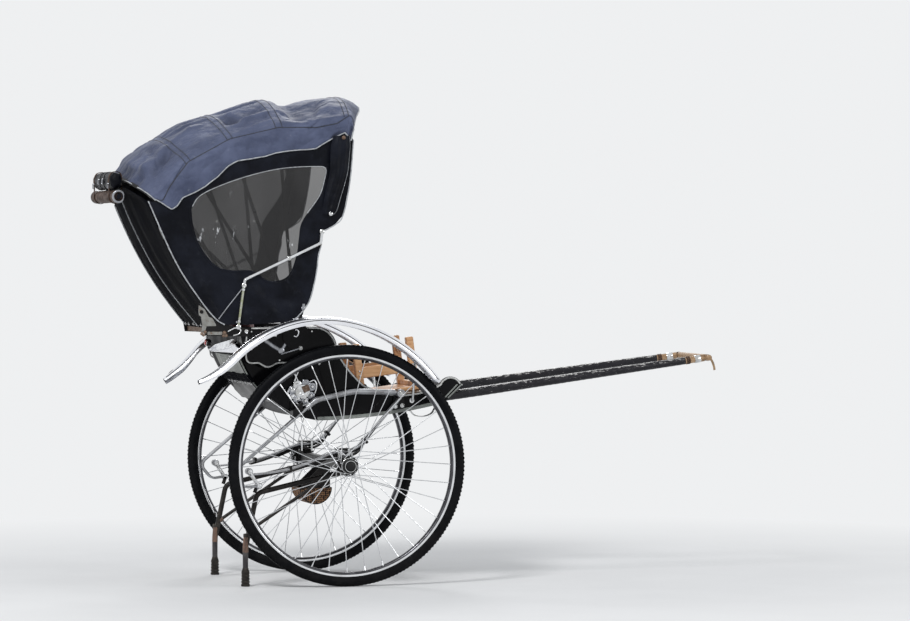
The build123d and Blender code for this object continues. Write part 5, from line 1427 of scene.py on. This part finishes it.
def side_trim(side_name, side):
    """Welts around the window and the edges, snaps, and a short rod low on the side."""
    trim = Shape("seam", "side", "bright", "rim_grey", "rust")
    out = (0, side, 0)
    top_edge = [p for p, a in zip(window_loop, angles) if radians(8) < a < radians(168)]
    trim.strip([cloth_place(side, x, z + 1, 0.9) for x, z in top_edge], 0.0016, 0.0034, 0, 0.2)
    welt = [cloth_place(side, *from_centre(point, 1.03), 0.7) for point in window_loop]
    trim.tube(welt, 0.0016, 6, 1, joined=True)
    trim.tube(smooth_line([cloth_place(side, x, z, 0.2) for x, z in SIDE_OUTLINE[:11]], 6), 0.0028, 8)
    trim.tube(smooth_line([cloth_place(side, x, z, 0.6) for x, z in SIDE_OUTLINE[12:]], 8), 0.003, 8)
    trim.bolt(body(-68, side * 446.5, 594), out, 0.006, 2)
    trim.bolt(body(-8, side * 446.5, 940), out, 0.006, 4)
    for x, z, mark, washer in ((-193, 166, 3, True), (-456, 62, 2, True), (-232, 112, 3, True),
            (-500, 104, 3, False)):
        trim.bolt(cloth_place(side, x, z, 1.0), out, 0.0055, mark, washer)
    trim.block(body(-190, side * 426.5, 174), (0.012, 0.005, 0.026), bevel=0.0015, mark=3)
    rod = ((-470, 428.5, 262), (-540, 428.5, 176), (-584, 427, 118))
    trim.tube([body(x, side * y, z) for x, y, z in rod], 0.003, 8, 3)
    trim.make(f"side_trim_{side_name}")


def front_flap(side_name, side):
    """The rolled front flap, gathered along the front edge, with two seam lines."""
    roll = Shape("side", "seam")
    line = smooth_line(in_plane(body, side * 436, FLAP_LINE), 8)
    rings = []
    for i, place in enumerate(line):
        share = i / (len(line) - 1)
        wide = (46 - 14 * share**1.3) * (0.8 + 0.2 * min(1, share * 8, (1 - share) * 10)) / 1000
        gather = 0.6 + 0.4 * min(1, share * 8)
        ring = []
        for a in circle(60):
            deep = 0.0105 * (1 + 0.34 * sin(7 * a + 1.2 * sin(share * 5))) * gather
            ring.append(place
                + Vector((cos(a) * wide * (1 + 0.05 * sin(3 * a + share * 4)), side * sin(a) * deep, 0)))
        rings.append(ring)
    roll.loft(rings)
    for index in (0, 19):
        roll.tube([ring[index * side % 60] for ring in rings], 0.0018, 6, 1)
    roll = roll.make(f"rolled_front_flap_{side_name}", smooth=60)


for side_name, side in SIDES:
    side_canvas(side_name, side)
    window_vinyl(side_name, side)
    side_trim(side_name, side)
    front_flap(side_name, side)

# back curtain, hanging slack from the rear bow to the rail
CURTAIN_HALF, CURTAIN_TOP = 413, 0.955
CURTAIN_RISE = (0.5139, 0.8579)


def curtain_place(y, t):
    """t runs from the rail to the underside of the rear bow."""
    across = y / CURTAIN_HALF
    reach = (762 - 88 * min(1, abs(across))**2) * t
    slack = 40 * sin(pi * t)**0.9 * (1 - 0.25 * across**2)
    fold = (4.5 * sin(across * 11 + 1.5 * noise.noise(Vector((t * 2.2, across, 2))))
        * (0.35 + 0.65 * t * (1 - t) * 4) + 3.0 * noise.fractal(Vector((across * 4, t * 3, 6)), 0.8, 2.1, 3))
    back = slack + fold * (1 - 0.8 * max(0, abs(across) - 0.8) * 5)
    x = -563.5 - reach * CURTAIN_RISE[0] - back * CURTAIN_RISE[1]
    return body(x, y * (1 + 0.016 * t), 69.4 + reach * CURTAIN_RISE[1] - back * CURTAIN_RISE[0])


def hem_place(y, share):
    """The last stretch passes behind the rear bow up to the cover's edge."""
    across = y * (BOW_HALF + 4) / CURTAIN_HALF
    edge = read_off(-abs(across), sections[0][LEG - 1:POINTS // 2 + 1])
    return curtain_place(y, CURTAIN_TOP).lerp(bow_place(138.4, across, edge - 4), share)


def curtain_piping():
    """Piping down the curtain, and bolts along the rail."""
    piping = Shape("seam", "bright")
    for y in (90, 411):
        line = [curtain_place(y, t) for t in spread(60, 0.01, CURTAIN_TOP)] + [
            hem_place(y, a) for a in (0.33, 0.66)]
        piping.tube([p + Vector((-0.0028, 0, -0.0016)) for p in line], 0.0027, 8)
    for y in spread(9, -380, 380):
        piping.bolt(curtain_place(y, 0.026) + Vector((-0.0012, 0, -0.001)), (-0.86, 0, -0.5), 0.0052, 1)
    piping.make("curtain_piping")


columns = spread(67, -CURTAIN_HALF, CURTAIN_HALF)
curtain_grid = [[curtain_place(y, t) for y in columns] for t in spread(50, 0.004, CURTAIN_TOP)]
curtain_grid += [[hem_place(y, share) for y in columns] for share in (0.33, 0.66, 1.0)]
curtain = sheet_from_grid(curtain_grid, 0.002, "curtain", "canvas_inside", "rear_curtain", ["back_curtain"])
curtain_piping()

# tub's back: each row is a height and the distance along the cart
BACK_LINE = [(-300, -280), (-255, -319), (-229, -346.6), (-174, -395.6), (-130, -425.6), (-95, -444.6),
    (-64, -458.6), (-43, -465.6)]
SPLASH_LEFT = [(-262, 334), (-221, 322), (-176, 180), (-160, 262), (-135, 222), (-50, 228)]
PLATE_TOP = [(-338, 0), (-325, 13), (-239, 23), (184, -14), (300, -32), (325, -38)]
PLATE_LOW = [(-338, -18), (-203, -42), (135, -46), (300, -48), (325, -44)]


def dented_plate():
    """The bright plate across the tub's back."""
    grid = []
    for y in spread(49, -338, 325):
        line = []
        for t, z in zip(spread(13, 0, 1), spread(13, read_off(y, PLATE_LOW), read_off(y, PLATE_TOP))):
            dents = 7 * sin(pi * t) + 3.5 * sin(2.2 * pi * t + y / 150) + 2 * noise.noise(
                Vector((y / 60, t * 2, 3)))
            line.append(body(-478 - 0.155 * z - dents, y, z))
        grid.append(line)
    sheet_from_grid(grid, 0.0012, "guard", "rim_grey", "back_plate")


def splash_sheet(low, high, name, material):
    """A grey sheet down the tub's back, with a ragged left end."""
    grid = []
    for z in spread(27, low, high):
        x = read_off(z, BACK_LINE) - 6
        grid.append([
            body(x - 2.5 * sin(y / 38 + z / 90) - 2 * noise.noise(Vector((y / 90, z / 60, 2))), y, z - 3)
            for y in spread(61, -336, read_off(z, SPLASH_LEFT))])
    sheet_from_grid(grid, 0.0012, material, "steel", name)


def splash_bar():
    """A black bar of three rolls across the splash sheet, with bolts under it and rods down one side."""
    bar = Shape("curtain", "bright", "trim")
    for drop in (-142, -154, -166):
        x = read_off(drop, BACK_LINE) - 7
        bar.tube([body(x - 2 * sin(y / 17 + drop), y, drop + 3 * noise.noise(Vector((y / 30, drop, 5))))
                  for y in spread(60, -337, 272)], 0.0085, 12)
    for i, y in enumerate((-318, -270, -228, -196, -140, -92, -30, 22, 90, 150, 214)):
        bar.bolt(body(read_off(-178, BACK_LINE) - 9, y, -178 - 3 * (i % 2)), (-1, 0, -0.5), 0.0045, 1)
    for y, away, size, sides, mark in ((-333, 10, 0.0032, 8, 2), (-304, 10, 0.0032, 8, 2),
            (-318, 6, 0.0085, 12, 0)):
        rod = [body(read_off(z, BACK_LINE) - away, y, z) for z in spread(20, -215, -52)]
        bar.tube(rod, size, sides, mark)
    bar.make("splash_bar")


dented_plate()
splash_sheet(-262, -158, "splash_flap", "splash_low")
splash_sheet(-146, -50, "splash_sheet", "splash")
splash_bar()

# rolled blind: a brown roll with ringed ends, and a black bundle strapped above it
ROLL_X, ROLL_Z = -1015, 672
BUNDLE_X, BUNDLE_Z = -1015.5, 744
BOTH_ROLLS = [(-984.5, 672), (-990, 652), (-1015, 641), (-1040, 652), (-1046, 676), (-1043, 706),
    (-1045.5, 745), (-1034, 778), (-1006, 786), (-988, 772), (-986, 745), (-986, 706), (-984.5, 672)]
BUNDLE_ONLY = [(-991, 740), (-996, 712), (-1017, 704.5), (-1038, 714), (-1044.5, 745), (-1036, 776),
    (-1010, 785), (-990, 770), (-991, 740)]


def blind_roll():
    roll = Shape("strap", "side", "rim_grey")
    centre = body(ROLL_X, 0, ROLL_Z)
    rings = []
    for y in spread(41, -0.278, 0.278):
        radius = 0.0285 * (1 + 0.04 * noise.noise(Vector((y * 9, 1, 4))))
        rings.append([centre + Vector((cos(a) * radius, y, sin(a) * radius)) for a in circle(40)])
    roll.loft(rings)
    layers = [(0.008 + 0.0071 * a / 6.28, a) for a in (2 * pi * i / 24 for i in range(8, 60))]
    for side in (-1, 1):
        end, out = centre + Vector((0, side * 0.2785, 0)), (0, side, 0)
        roll.lathe(
            [(0, 0.0215), (0, 0.0292), (0.0015, 0.03), (0.005, 0.03), (0.0064, 0.0285), (0.0064, 0.0215)],
            end, out, 40, 2)
        roll.turned([(0, 0.0215), (0.0022, 0.0215), (0.0022, 0.012), (0.005, 0.0105), (0.005, 0)], end, out,
            32, 1)
        roll.strip([end + Vector((cos(a) * r, side * 0.003, sin(a) * r)) for r, a in layers], 0.006, 0.0012,
            0, 0.2)
    roll.make("blind_rolled", ["blind_roll"], smooth=60)


def blind_bundle():
    """Folded cloth, drawn in by its four straps and tucked in at the ends."""
    bundle = Shape("side")
    centre = body(BUNDLE_X, 0, BUNDLE_Z)
    rings = []
    for y in spread(61, -0.235, 0.235):
        tuck = min(1, 0.42 + 0.58 * sin(min(1, (0.235 - abs(y)) / 0.022) * pi / 2))
        size = tuck * (
            1 - 0.17 * np.exp(-((abs(y) - 0.19) / 0.014)**2) - 0.1 * np.exp(-((abs(y) - 0.05) / 0.016)**2))
        rings.append([centre + Vector((cos(a) * 0.0288 * size * (1 + 0.09 * sin(4 * a + y * 14)), y,
                    sin(a) * 0.0392 * size * (1 + 0.07 * sin(5 * a - y * 20)))) for a in circle(36)])
    bundle.loft(rings)
    bundle.make("blind_bundle", smooth=60)


def blind_straps():
    """Two outer straps around both rolls, two inner ones around the bundle, each with a buckle."""
    straps = Shape("strap", "rim_grey", "side")
    for y, path, mark, buckle_z in ((-190, BOTH_ROLLS, 0, 722), (-50, BUNDLE_ONLY, 2, 742),
            (50, BUNDLE_ONLY, 2, 742), (190, BOTH_ROLLS, 0, 722)):
        line = smooth_line([(*point, 0) for point in path], 5)
        straps.strip([body(p.x, y, p.y) for p in line], 0.024, 0.0026, mark, 0.2)
        buckle = body(-1048.5, y, buckle_z)
        straps.tube([buckle + Vector((0, a, b)) for a, b in rounded_frame(0.016, 0.011)], 0.0017, 8, 1,
            joined=True)
        straps.tube([buckle + Vector((-0.001, 0, -0.012)), buckle + Vector((-0.002, 0, 0.011))], 0.0016, 6, 1)
        straps.strip(in_plane(body, y, [(-990, 772), (-987, 762), (-984, 752)]), 0.024, 0.003, 0, 0.2)
    straps.make("blind_straps", ["roll_straps"])


blind_roll()
blind_bundle()
blind_straps()

# folding stays, base plates and the wings' fittings
dress("rust", "rear_rail")
STAY_Y = 433
STAY_TOP, STAY_ELBOW, STAY_REAR = (-106, 512), (-112, 461), (-464, 296)
STAY_KNEE, STAY_FOOT = (-469, 262), (-494, 82)
NEAR_PLATE = dict(
    outline=[(-645, 44), (-440, 38), (-440, 72), (-560, 96), (-585, 106), (-666, 190), (-652, 80)],
    ragged=[(-674, 181), (-647, 163), (-628, 128), (-611, 122), (-592, 87), (-638, 86), (-645, 62),
        (-663, 60), (-657, 86), (-663, 130), (-673, 136), (-675, 160)], bar=(-634, 47, -566, 60),
    bolts=[(-661, 151, 0.0058, 0), (-646, 60, 0.0052, 2), (-655, 66, 0.0046, 1), (-556, 55, 0.0062, 2),
        (-548, 44, 0.0054, 2), (-560, 42, 0.0046, 2), (-541, 52, 0.005, 0), (-660, 52, 0.005, 2),
        (-652, 46, 0.0046, 2)])
FAR_PLATE = dict(
    outline=[(-575, 44), (-440, 38), (-440, 72), (-552, 96), (-636, 186), (-640, 168), (-582, 84)],
    ragged=[(-634, 176), (-612, 150), (-590, 128), (-560, 98), (-572, 88), (-586, 92), (-604, 118)],
    bar=(-566, 47, -506, 60),
    bolts=[(-600, 134, 0.005, 0), (-498, 52, 0.0054, 2), (-488, 44, 0.0046, 2)])
HOOKS = [(424.5, [(-229, 66), (-221, 68), (-214, 60), (-216, 46), (-224, 36), (-236, 40)], 0.0034, 1),
         (427, [(-541, 62), (-519, 73), (-506, 77), (-484, 70), (-488, 52), (-517, 43)], 0.0036, 0)]
LEVER = [(-290, 414.5, -42), (-288, 421, -41), (-250, 424, -30), (-210, 424, -18)]
# the knobbly clamp: discs, bolts on them, and bent rods around it
DISCS = [(-46, 8, 19, 0), (-24, 32, 20, 1.5), (14, 40, 17, 0.5), (44, 22, 19, 2), (40, -18, 18, 0),
         (12, -42, 17, 1.5), (-24, -34, 19, 0.5), (-50, -22, 14, 0), (0, 0, 34, 3)]
KNOBS = [(-46, 8, 7), (-24, 32, 6), (44, 22, 7), (40, -18, 6), (12, -42, 7), (-24, -34, 6), (-50, -22, 5),
    (-6, -16, 6), (26, -8, 5)]
RODS = [((-62, 14), (-70, -6), (-56, -28), (-38, -30)), ((30, 44), (52, 52), (64, 34), (62, 10), (56, -8)),
    ((-30, -50), (-14, -62), (8, -62), (24, -54)), ((-38, 48), (-30, 74), (-22, 92), (-30, 102), (-40, 96))]


def folding_stay(side_name, side):
    """A bent arm, its socket and a thinner rod, with discs at the joints and rings along the rods."""
    y, out = side * STAY_Y, (0, side, 0)
    stay = Shape("chrome", "moss_steel", "bright")
    stay.tube(rounded(in_plane(body, y, [STAY_TOP, STAY_ELBOW, STAY_REAR]), 0.018, 8), 0.0074, 16)
    stay.tube(rounded(in_plane(body, y, [(-448, 302.5), STAY_REAR, STAY_KNEE]), 0.013, 6), 0.0078, 16)
    stay.tube(along(in_plane(body, y, [STAY_KNEE, STAY_FOOT]), 4), 0.0058, 16, 1)
    for (x, z), size in ((STAY_TOP, 0.011), ((-259, 392), 0.0095), ((-468, 270), 0.0105),
            (STAY_FOOT, 0.0115)):
        stay.turned([(-0.0055, 0), (-0.0055, size - 0.002), (-0.0035, size), (0.0045, size),
                (0.0068, size - 0.003), (0.0068, 0)], body(x, y, z), out, 28, 2)
        stay.bolt(body(x, y + side * 6.6, z), out, 0.0042, 2, washer=False)
    for x, start, end in ((-114, STAY_ELBOW, STAY_REAR), (-440, STAY_ELBOW, STAY_REAR),
                          (-470.5, STAY_KNEE, STAY_FOOT), (-490.5, STAY_KNEE, STAY_FOOT)):
        run = Vector((end[0] - start[0], 0, end[1] - start[1])).normalized()
        z = start[1] + (end[1] - start[1]) * (x - start[0]) / (end[0] - start[0])
        stay.lathe([(-0.006, 0.006), (-0.005, 0.0082), (0.005, 0.0082), (0.006, 0.006)], body(x, y, z), run,
            20, 2)
    for x, z in (STAY_TOP, STAY_FOOT):
        stay.tube([body(x, side * 422, z), body(x, side * 428, z)], 0.0062, 14, 2)
    stay.make(f"folding_stay_{side_name}", [f"hood_stay_{side_name}"])


def base_plate(side_name, side, outline, ragged, bar, bolts):
    """A rusted plate behind the wing, a ragged pale sheet on it, a bar and bolts."""
    base = Shape("steel", "plate", "rust")
    base.loft([in_plane(body, side * y, outline) for y in (413.8, 419.6)])
    sheet = [(p.x, p.y) for p in rounded([(x, z, 0) for x, z in ragged + ragged[:1]], 3, 3)[:-1]]
    base.loft([in_plane(body, side * y, sheet) for y in (419.6, 421.8)], 1)
    x0, z0, x1, z1 = bar
    base.block(body((x0 + x1) / 2, side * 420.8, (z0 + z1) / 2), ((x1 - x0) / 1000, 0.0032, 0.015),
        bevel=0.0012, mark=1)
    for x, z, size, mark in bolts:
        base.bolt(body(x, side * 421.6, z), (0, side, 0), size, mark)
    base.make(f"base_plate_{side_name}", [f"hood_base_{side_name}"])


def wing_fittings(fittings, side):
    """A folding iron, two hooks, and a lever with a white ball."""
    out = (0, side, 0)
    for run, wide in (([(-244, 48), (-268, 10), (-292, -28)], 0.013),
            ([(-292, -28), (-330, -6), (-367, 19)], 0.017)):
        fittings.strip(in_plane(body, side * 415.6, run), 0.003, wide, 4, 0.2)
    fittings.turned([(0, 0), (0, 0.014), (0.004, 0.014), (0.006, 0.01), (0.006, 0)],
        body(-292, side * 414, -28), out, 24, 4)
    for y, line, radius, mark in HOOKS:
        fittings.tube(smooth_line(in_plane(body, side * y, line), 6), radius, 10, mark)
    lever = smooth_line([body(x, side * y, z) for x, y, z in LEVER], 6)
    fittings.tube(lever, 0.004, 12, 4)
    ball = [(-0.0098 * cos(a), 0.0098 * sin(a)) for a in spread(13, 0, pi)]
    fittings.turned(ball, lever[-1] + Vector((0.006, 0, 0.002)), (0.93, 0, 0.36), 24, 2)


def spring_clamp(fittings, side):
    """The knobbly clamp between the tub and the upper spring."""
    out = (0, side, 0)

    def place(x, z, lift):
        return axle(-182 + x, side * (359.3 + lift), 334 + z)

    for x, z, radius, lift in DISCS:
        size = radius / 1000
        fittings.turned([(-0.001, 0), (-0.001, size - 0.001), (0.001, size), (0.0052, size),
                (0.007, size - 0.0025), (0.007, size * 0.45), (0.0058, size * 0.4), (0.0058, 0)],
            place(x, z, lift), out, 26, 4 if size < 0.02 else 0)
    for x, z, radius in KNOBS:
        fittings.bolt(place(x, z, 8.6), out, radius / 1000, 0, washer=x < 0)
    tilted = (Vector((0.94, 0, 0.34)), Vector(ACROSS), Vector((-0.34, 0, 0.94)))
    fittings.block(place(14, 14, 14), (0.034, 0.009, 0.03), tilted, 0.003, 3)
    for rod in RODS:
        fittings.tube(smooth_line([place(x, z, 9) for x, z in rod], 6), 0.004, 10, 1)


def tail_lamp():
    """A round lamp with a red lens on a strip that hangs from the rail."""
    shape = Shape("plastic", "lens", "bright")
    centre, back = body(-554, 20, 1), (1, 0, 0)
    shape.turned([(0, 0.0125), (0, 0.0168), (0.002, 0.017), (0.018, 0.0165), (0.023, 0.013), (0.026, 0.007),
                  (0.026, 0)], centre, back, 36)
    shape.turned([(0.002, 0.0145), (-0.001, 0.0146), (-0.004, 0.0125), (-0.0062, 0.008), (-0.007, 0)],
        centre, back, 36, 1)
    shape.lathe([(0.0022, 0.0143), (-0.0006, 0.0145), (-0.0008, 0.017), (0.0022, 0.0172)], centre, back, 36,
        2)
    shape.strip([body(-545.5, 20, z) for z in (8, 30, 46.6)], 0.024, 0.005, 0, 0.2)
    shape.bolt(body(-548.2, 20, 36), (-1, 0, 0), 0.0045, 2)
    shape.make("tail_lamp", ["rear_lamp"])


for (side_name, side), plate in zip(SIDES, (NEAR_PLATE, FAR_PLATE)):
    folding_stay(side_name, side)
    base_plate(side_name, side, **plate)
    fittings = Shape("bright", "chrome", "piping", "rust", "rim_grey")
    wing_fittings(fittings, side)
    spring_clamp(fittings, side)
    fittings.make(f"hood_fittings_{side_name}")
tail_lamp()

# basket of crossed splints on a wire rim: its middle, radius and half width
BASKET_X, BASKET_Z, BASKET_R, BASKET_HALF = -58, -122, 75.0, 90
HOOP_YS = spread(19, -BASKET_HALF + 3, BASKET_HALF - 3)
HOOP_ANGLES = spread(37, -pi, 0)


def basket_arc(radius, a, y, drop=0):
    return axle(BASKET_X + radius * cos(a), y, BASKET_Z - drop + radius * sin(a))


def basket_shade_sheet(basket):
    """Painted shade: a dark half round inside the splints, with two end sheets, in place of the shade within
    the basket.
    """
    outer = [(BASKET_R - 5.5, a, 0) for a in spread(31, -pi, 0)]
    inner = [(BASKET_R - 9, a, 1) for a in spread(31, 0, -pi)]
    end = BASKET_HALF - 5
    basket.loft([[basket_arc(r, a, y, drop) for r, a, drop in outer + inner] for y in (-end, end)], 2)
    for y in (-end, end - 2):
        basket.loft([[basket_arc(r, a, yy, drop) for r, a, drop in outer] for yy in (y, y + 2)], 2)


def basket_splints(basket):
    """Hoops and straight splints that pass over and under each other."""
    for i, y in enumerate(HOOP_YS):
        basket.tube([basket_arc(BASKET_R - 1.2 + (1.3 if (i + j) % 2 else -1.3), a, y)
                     for j, a in enumerate(HOOP_ANGLES)], 0.0023, 6)
    for j, a in enumerate(HOOP_ANGLES):
        basket.tube([basket_arc(BASKET_R - 1.2 + (-1.3 if (i + j) % 2 else 1.3), a, y)
                     for i, y in enumerate(HOOP_YS)], 0.0021, 6)
    for y in (-BASKET_HALF + 2, BASKET_HALF - 2):
        for x in spread(15, -BASKET_R + 6, BASKET_R - 6):
            depth = sqrt(BASKET_R**2 - x * x)
            basket.tube([axle(BASKET_X + x, y + (0.9 if k % 2 else -0.9), BASKET_Z - depth * t)
                         for k, t in enumerate(spread(9, 0, 0.98))], 0.0021, 6)
        for drop in spread(8, 4, 68):
            half = sqrt(BASKET_R**2 - drop**2) - 2
            basket.tube([axle(BASKET_X + x, y + (-0.9 if k % 2 else 0.9), BASKET_Z - drop)
                         for k, x in enumerate(spread(15, -half, half))], 0.0021, 6)


def basket_wires(basket):
    corners = [axle(BASKET_X + x, y, BASKET_Z - 1.5) for x, y in ((-73, -87), (73, -87), (73, 87), (-73, 87))]
    rim = [a.lerp(b, t) for a, b in zip(corners, corners[1:] + corners[:1]) for t in spread(6, 0, 0.9)]
    basket.tube(rim, 0.0034, 8, 1, joined=True)
    for y in (-88, 88):
        basket.tube([basket_arc(BASKET_R - 1, a, y) for a in spread(25, -pi, 0)], 0.003, 8, 1)


basket = Shape("wicker", "steel", "bow")
basket_shade_sheet(basket)
basket_splints(basket)
basket_wires(basket)
basket.make("basket_woven", ["basket"])

# boarding stool, upside down on the sloping floor
STOOL_AXES = (Vector((cos(LEAN), 0, sin(LEAN))), Vector(ACROSS), Vector((-sin(LEAN), 0, cos(LEAN))))
STOOL_X = 111 + 4.5 + 150 * cos(LEAN) + 22 * sin(LEAN)
STOOL_BASE = body(STOOL_X, -45, shaft_height(STOOL_X) + (22.5 + 0.3 + 14) / cos(LEAN) + 0.3)
LEG_AT, RAIL_AT = 128, 133


def on_stool(x, y, z):
    return STOOL_BASE + (STOOL_AXES[0] * x + STOOL_AXES[1] * y + STOOL_AXES[2] * z) / 1000


def boarding_stool():
    stool = Shape("stool", "bright")
    stool.block(on_stool(0, 0, 11), (0.3, 0.31, 0.0218), STOOL_AXES, 0.006)
    for x in (-LEG_AT, LEG_AT):
        for side in (-1, 1):
            stool.block(on_stool(x, side * RAIL_AT, 136), (0.034, 0.034, 0.228), STOOL_AXES, 0.0035)
            for z in (104, 124):
                stool.bolt(on_stool(x, side * (RAIL_AT + 17), z), (0, side, 0), 0.0042, 1, washer=False)
    for y in (-RAIL_AT, RAIL_AT):
        stool.block(on_stool(0, y, 114), (0.226, 0.018, 0.051), STOOL_AXES, 0.003)
    for x in (-LEG_AT, LEG_AT):
        stool.block(on_stool(x, 0, 196), (0.02, 0.236, 0.04), STOOL_AXES, 0.003)
        stool.block(on_stool(x, 0, 32), (0.022, 0.236, 0.022), STOOL_AXES, 0.003)
    stool.make("stool_joined", ["boarding_stool"], smooth=30)


boarding_stool()

# seat: cushion and back are swollen by cloth simulation, then buttoned and piped
BOARD_Z, SEAT_HALF, SWELL_FRAMES = -193.5, 314, 20
SEAT_OUTLINE = [(-340, BOARD_Z + 7), (74, BOARD_Z + 7), (66, BOARD_Z + 38), (24, BOARD_Z + 66),
    (-300, BOARD_Z + 66), (-372, BOARD_Z + 66)]
BACK_OUTLINE = [(-412, -96), (-440, -37), (-462, 82), (-494, 284), (-440, 284), (-404, 82), (-378, -37),
    (-362, -96)]
UP, SEAT_FACE = Vector((0, 0, 1)), Vector((0.978, 0, 0.21))


def coordinates(mesh):
    return np.array([v.co for v in mesh.vertices])


def evaluated(pad):
    return bpy.data.meshes.new_from_object(pad.evaluated_get(bpy.context.evaluated_depsgraph_get()))


def replace_mesh(pad, mesh):
    pad.modifiers.clear()
    pad.data = mesh


def swollen(pad, cap):
    """Even faces, then a cloth under pressure; no point travels further than the cap."""
    remesh = pad.modifiers.new("voxels", "REMESH")
    remesh.mode, remesh.voxel_size, remesh.use_smooth_shade = "VOXEL", 0.0075, True
    replace_mesh(pad, evaluated(pad))
    rest = coordinates(pad.data)
    cloth = pad.modifiers.new("cloth", "CLOTH")
    setting = cloth.settings
    setting.quality, setting.mass = 5, 0.3
    setting.tension_stiffness = setting.compression_stiffness = 14
    setting.bending_stiffness = 0.6
    setting.use_pressure, setting.uniform_pressure_force = True, 4.0
    setting.effector_weights.gravity = 0
    cloth.collision_settings.use_collision = False
    scene.frame_start, scene.frame_end = 1, SWELL_FRAMES
    cloth.point_cache.frame_start, cloth.point_cache.frame_end = 1, SWELL_FRAMES
    for number in range(1, SWELL_FRAMES + 1):
        scene.frame_set(number)
    blown = evaluated(pad)
    step = coordinates(blown) - rest
    length = np.linalg.norm(step, axis=1, keepdims=True)
    step *= np.minimum(1, cap / np.maximum(length, 1e-9))
    replace_mesh(pad, blown)
    scene.frame_set(1)
    return rest + step


def pad_block(name, outline, stands_for):
    """A closed profile in x and z, widened to both sides."""
    outline = along([Vector((x, z, 0)) for x, z in outline + outline[:1]], 76)[:-1]
    middle = sum(outline, Vector()) / len(outline)
    rings = []
    for y in spread(45, -SEAT_HALF, SEAT_HALF):
        shrink = 1 - max(0, abs(y) / SEAT_HALF - 0.94)
        rings.append([body(middle.x + (p.x - middle.x) * shrink, y, middle.y + (p.y - middle.y) * shrink)
                      for p in outline])
    return Shape("red").loft(rings).make(name, stands_for, smooth=180)


def stuffed(name, outline, cap, buttons, face, stands_for):
    """A pad, blown up as cloth; buttons press into the face's side."""
    pad = pad_block(name, outline, stands_for)
    moved = swollen(pad, cap)
    for place in buttons:
        away = np.linalg.norm(moved - np.array(place), axis=1)
        moved -= np.array(face) * 0.016 * np.exp(-(away / 0.042)**2)[:, None]
    pad.data.vertices.foreach_set("co", moved.astype(np.float32).ravel())
    pad.data.update()
    pad.data.materials.clear()
    pad.data.materials.append(M["red"])
    for polygon in pad.data.polygons:
        polygon.use_smooth = True
    detail = pad.modifiers.new("smooth", "SUBSURF")
    detail.levels = detail.render_levels = 1
    return moved


def surface_point(cloud, place, face):
    """The outermost point of a pad near a line through a place, along the face's direction."""
    face = np.array(face)
    offset = cloud - np.array(place)
    along_face = offset @ face
    near = np.linalg.norm(offset - along_face[:, None] * face, axis=1) < 0.012
    return Vector(np.array(place) + face * along_face[near].max())


def tufts(pads):
    """A button in each dimple, and two lines of piping along the cushion's front."""
    shape = Shape("red")
    for places, cloud, face in pads:
        for place in places:
            shape.turned([(-0.004, 0.0115), (0.0, 0.0125), (0.0028, 0.0105), (0.0042, 0.006), (0.0048, 0)],
                         surface_point(cloud, place, face), face)
    for z in (BOARD_Z + 42, BOARD_Z + 10):
        shape.tube([body(80 - 10 * (abs(y) / 316)**8, y, z) for y in spread(41, -304, 304)], 0.0042, 8)
    shape.make("seat_buttons_piping")


seat_buttons = [tuple(body(x, y, BOARD_Z + 78)) for x in (-250, -110) for y in (-205, 0, 205)]
back_buttons = [tuple(body(x, y, z)) for x, z in ((-368, 20), (-398, 150)) for y in (-205, 0, 205)]
seat_cloud = stuffed("seat_pad", SEAT_OUTLINE, 0.024, seat_buttons, UP, ["seat_cushion"])
back_cloud = stuffed("back_pad", BACK_OUTLINE, 0.022, back_buttons, SEAT_FACE, ["seat_back"])
tufts([(seat_buttons, seat_cloud, UP), (back_buttons, back_cloud, SEAT_FACE)])


def loose_strap():
    """The strap that hangs at the near shaft's end."""
    start, r = shaft_place(1776)
    line = [(-0.012, -r * 0.6, r * 0.85), (0.006, -r * 0.75, r * 0.95), (0.024, -r - 0.001, 0.008),
            (0.04, -r - 0.003, -0.014), (0.05, -r - 0.002, -0.04), (0.053, -r, -0.056)]
    strap = Shape("tan_strap")
    strap.strip(smooth_line([start + Vector(p) for p in line], 8), 0.011, 0.0018, 0, 0.2, (0.94, 0.1, 0.3))
    strap = strap.make("loose_strap")


loose_strap()
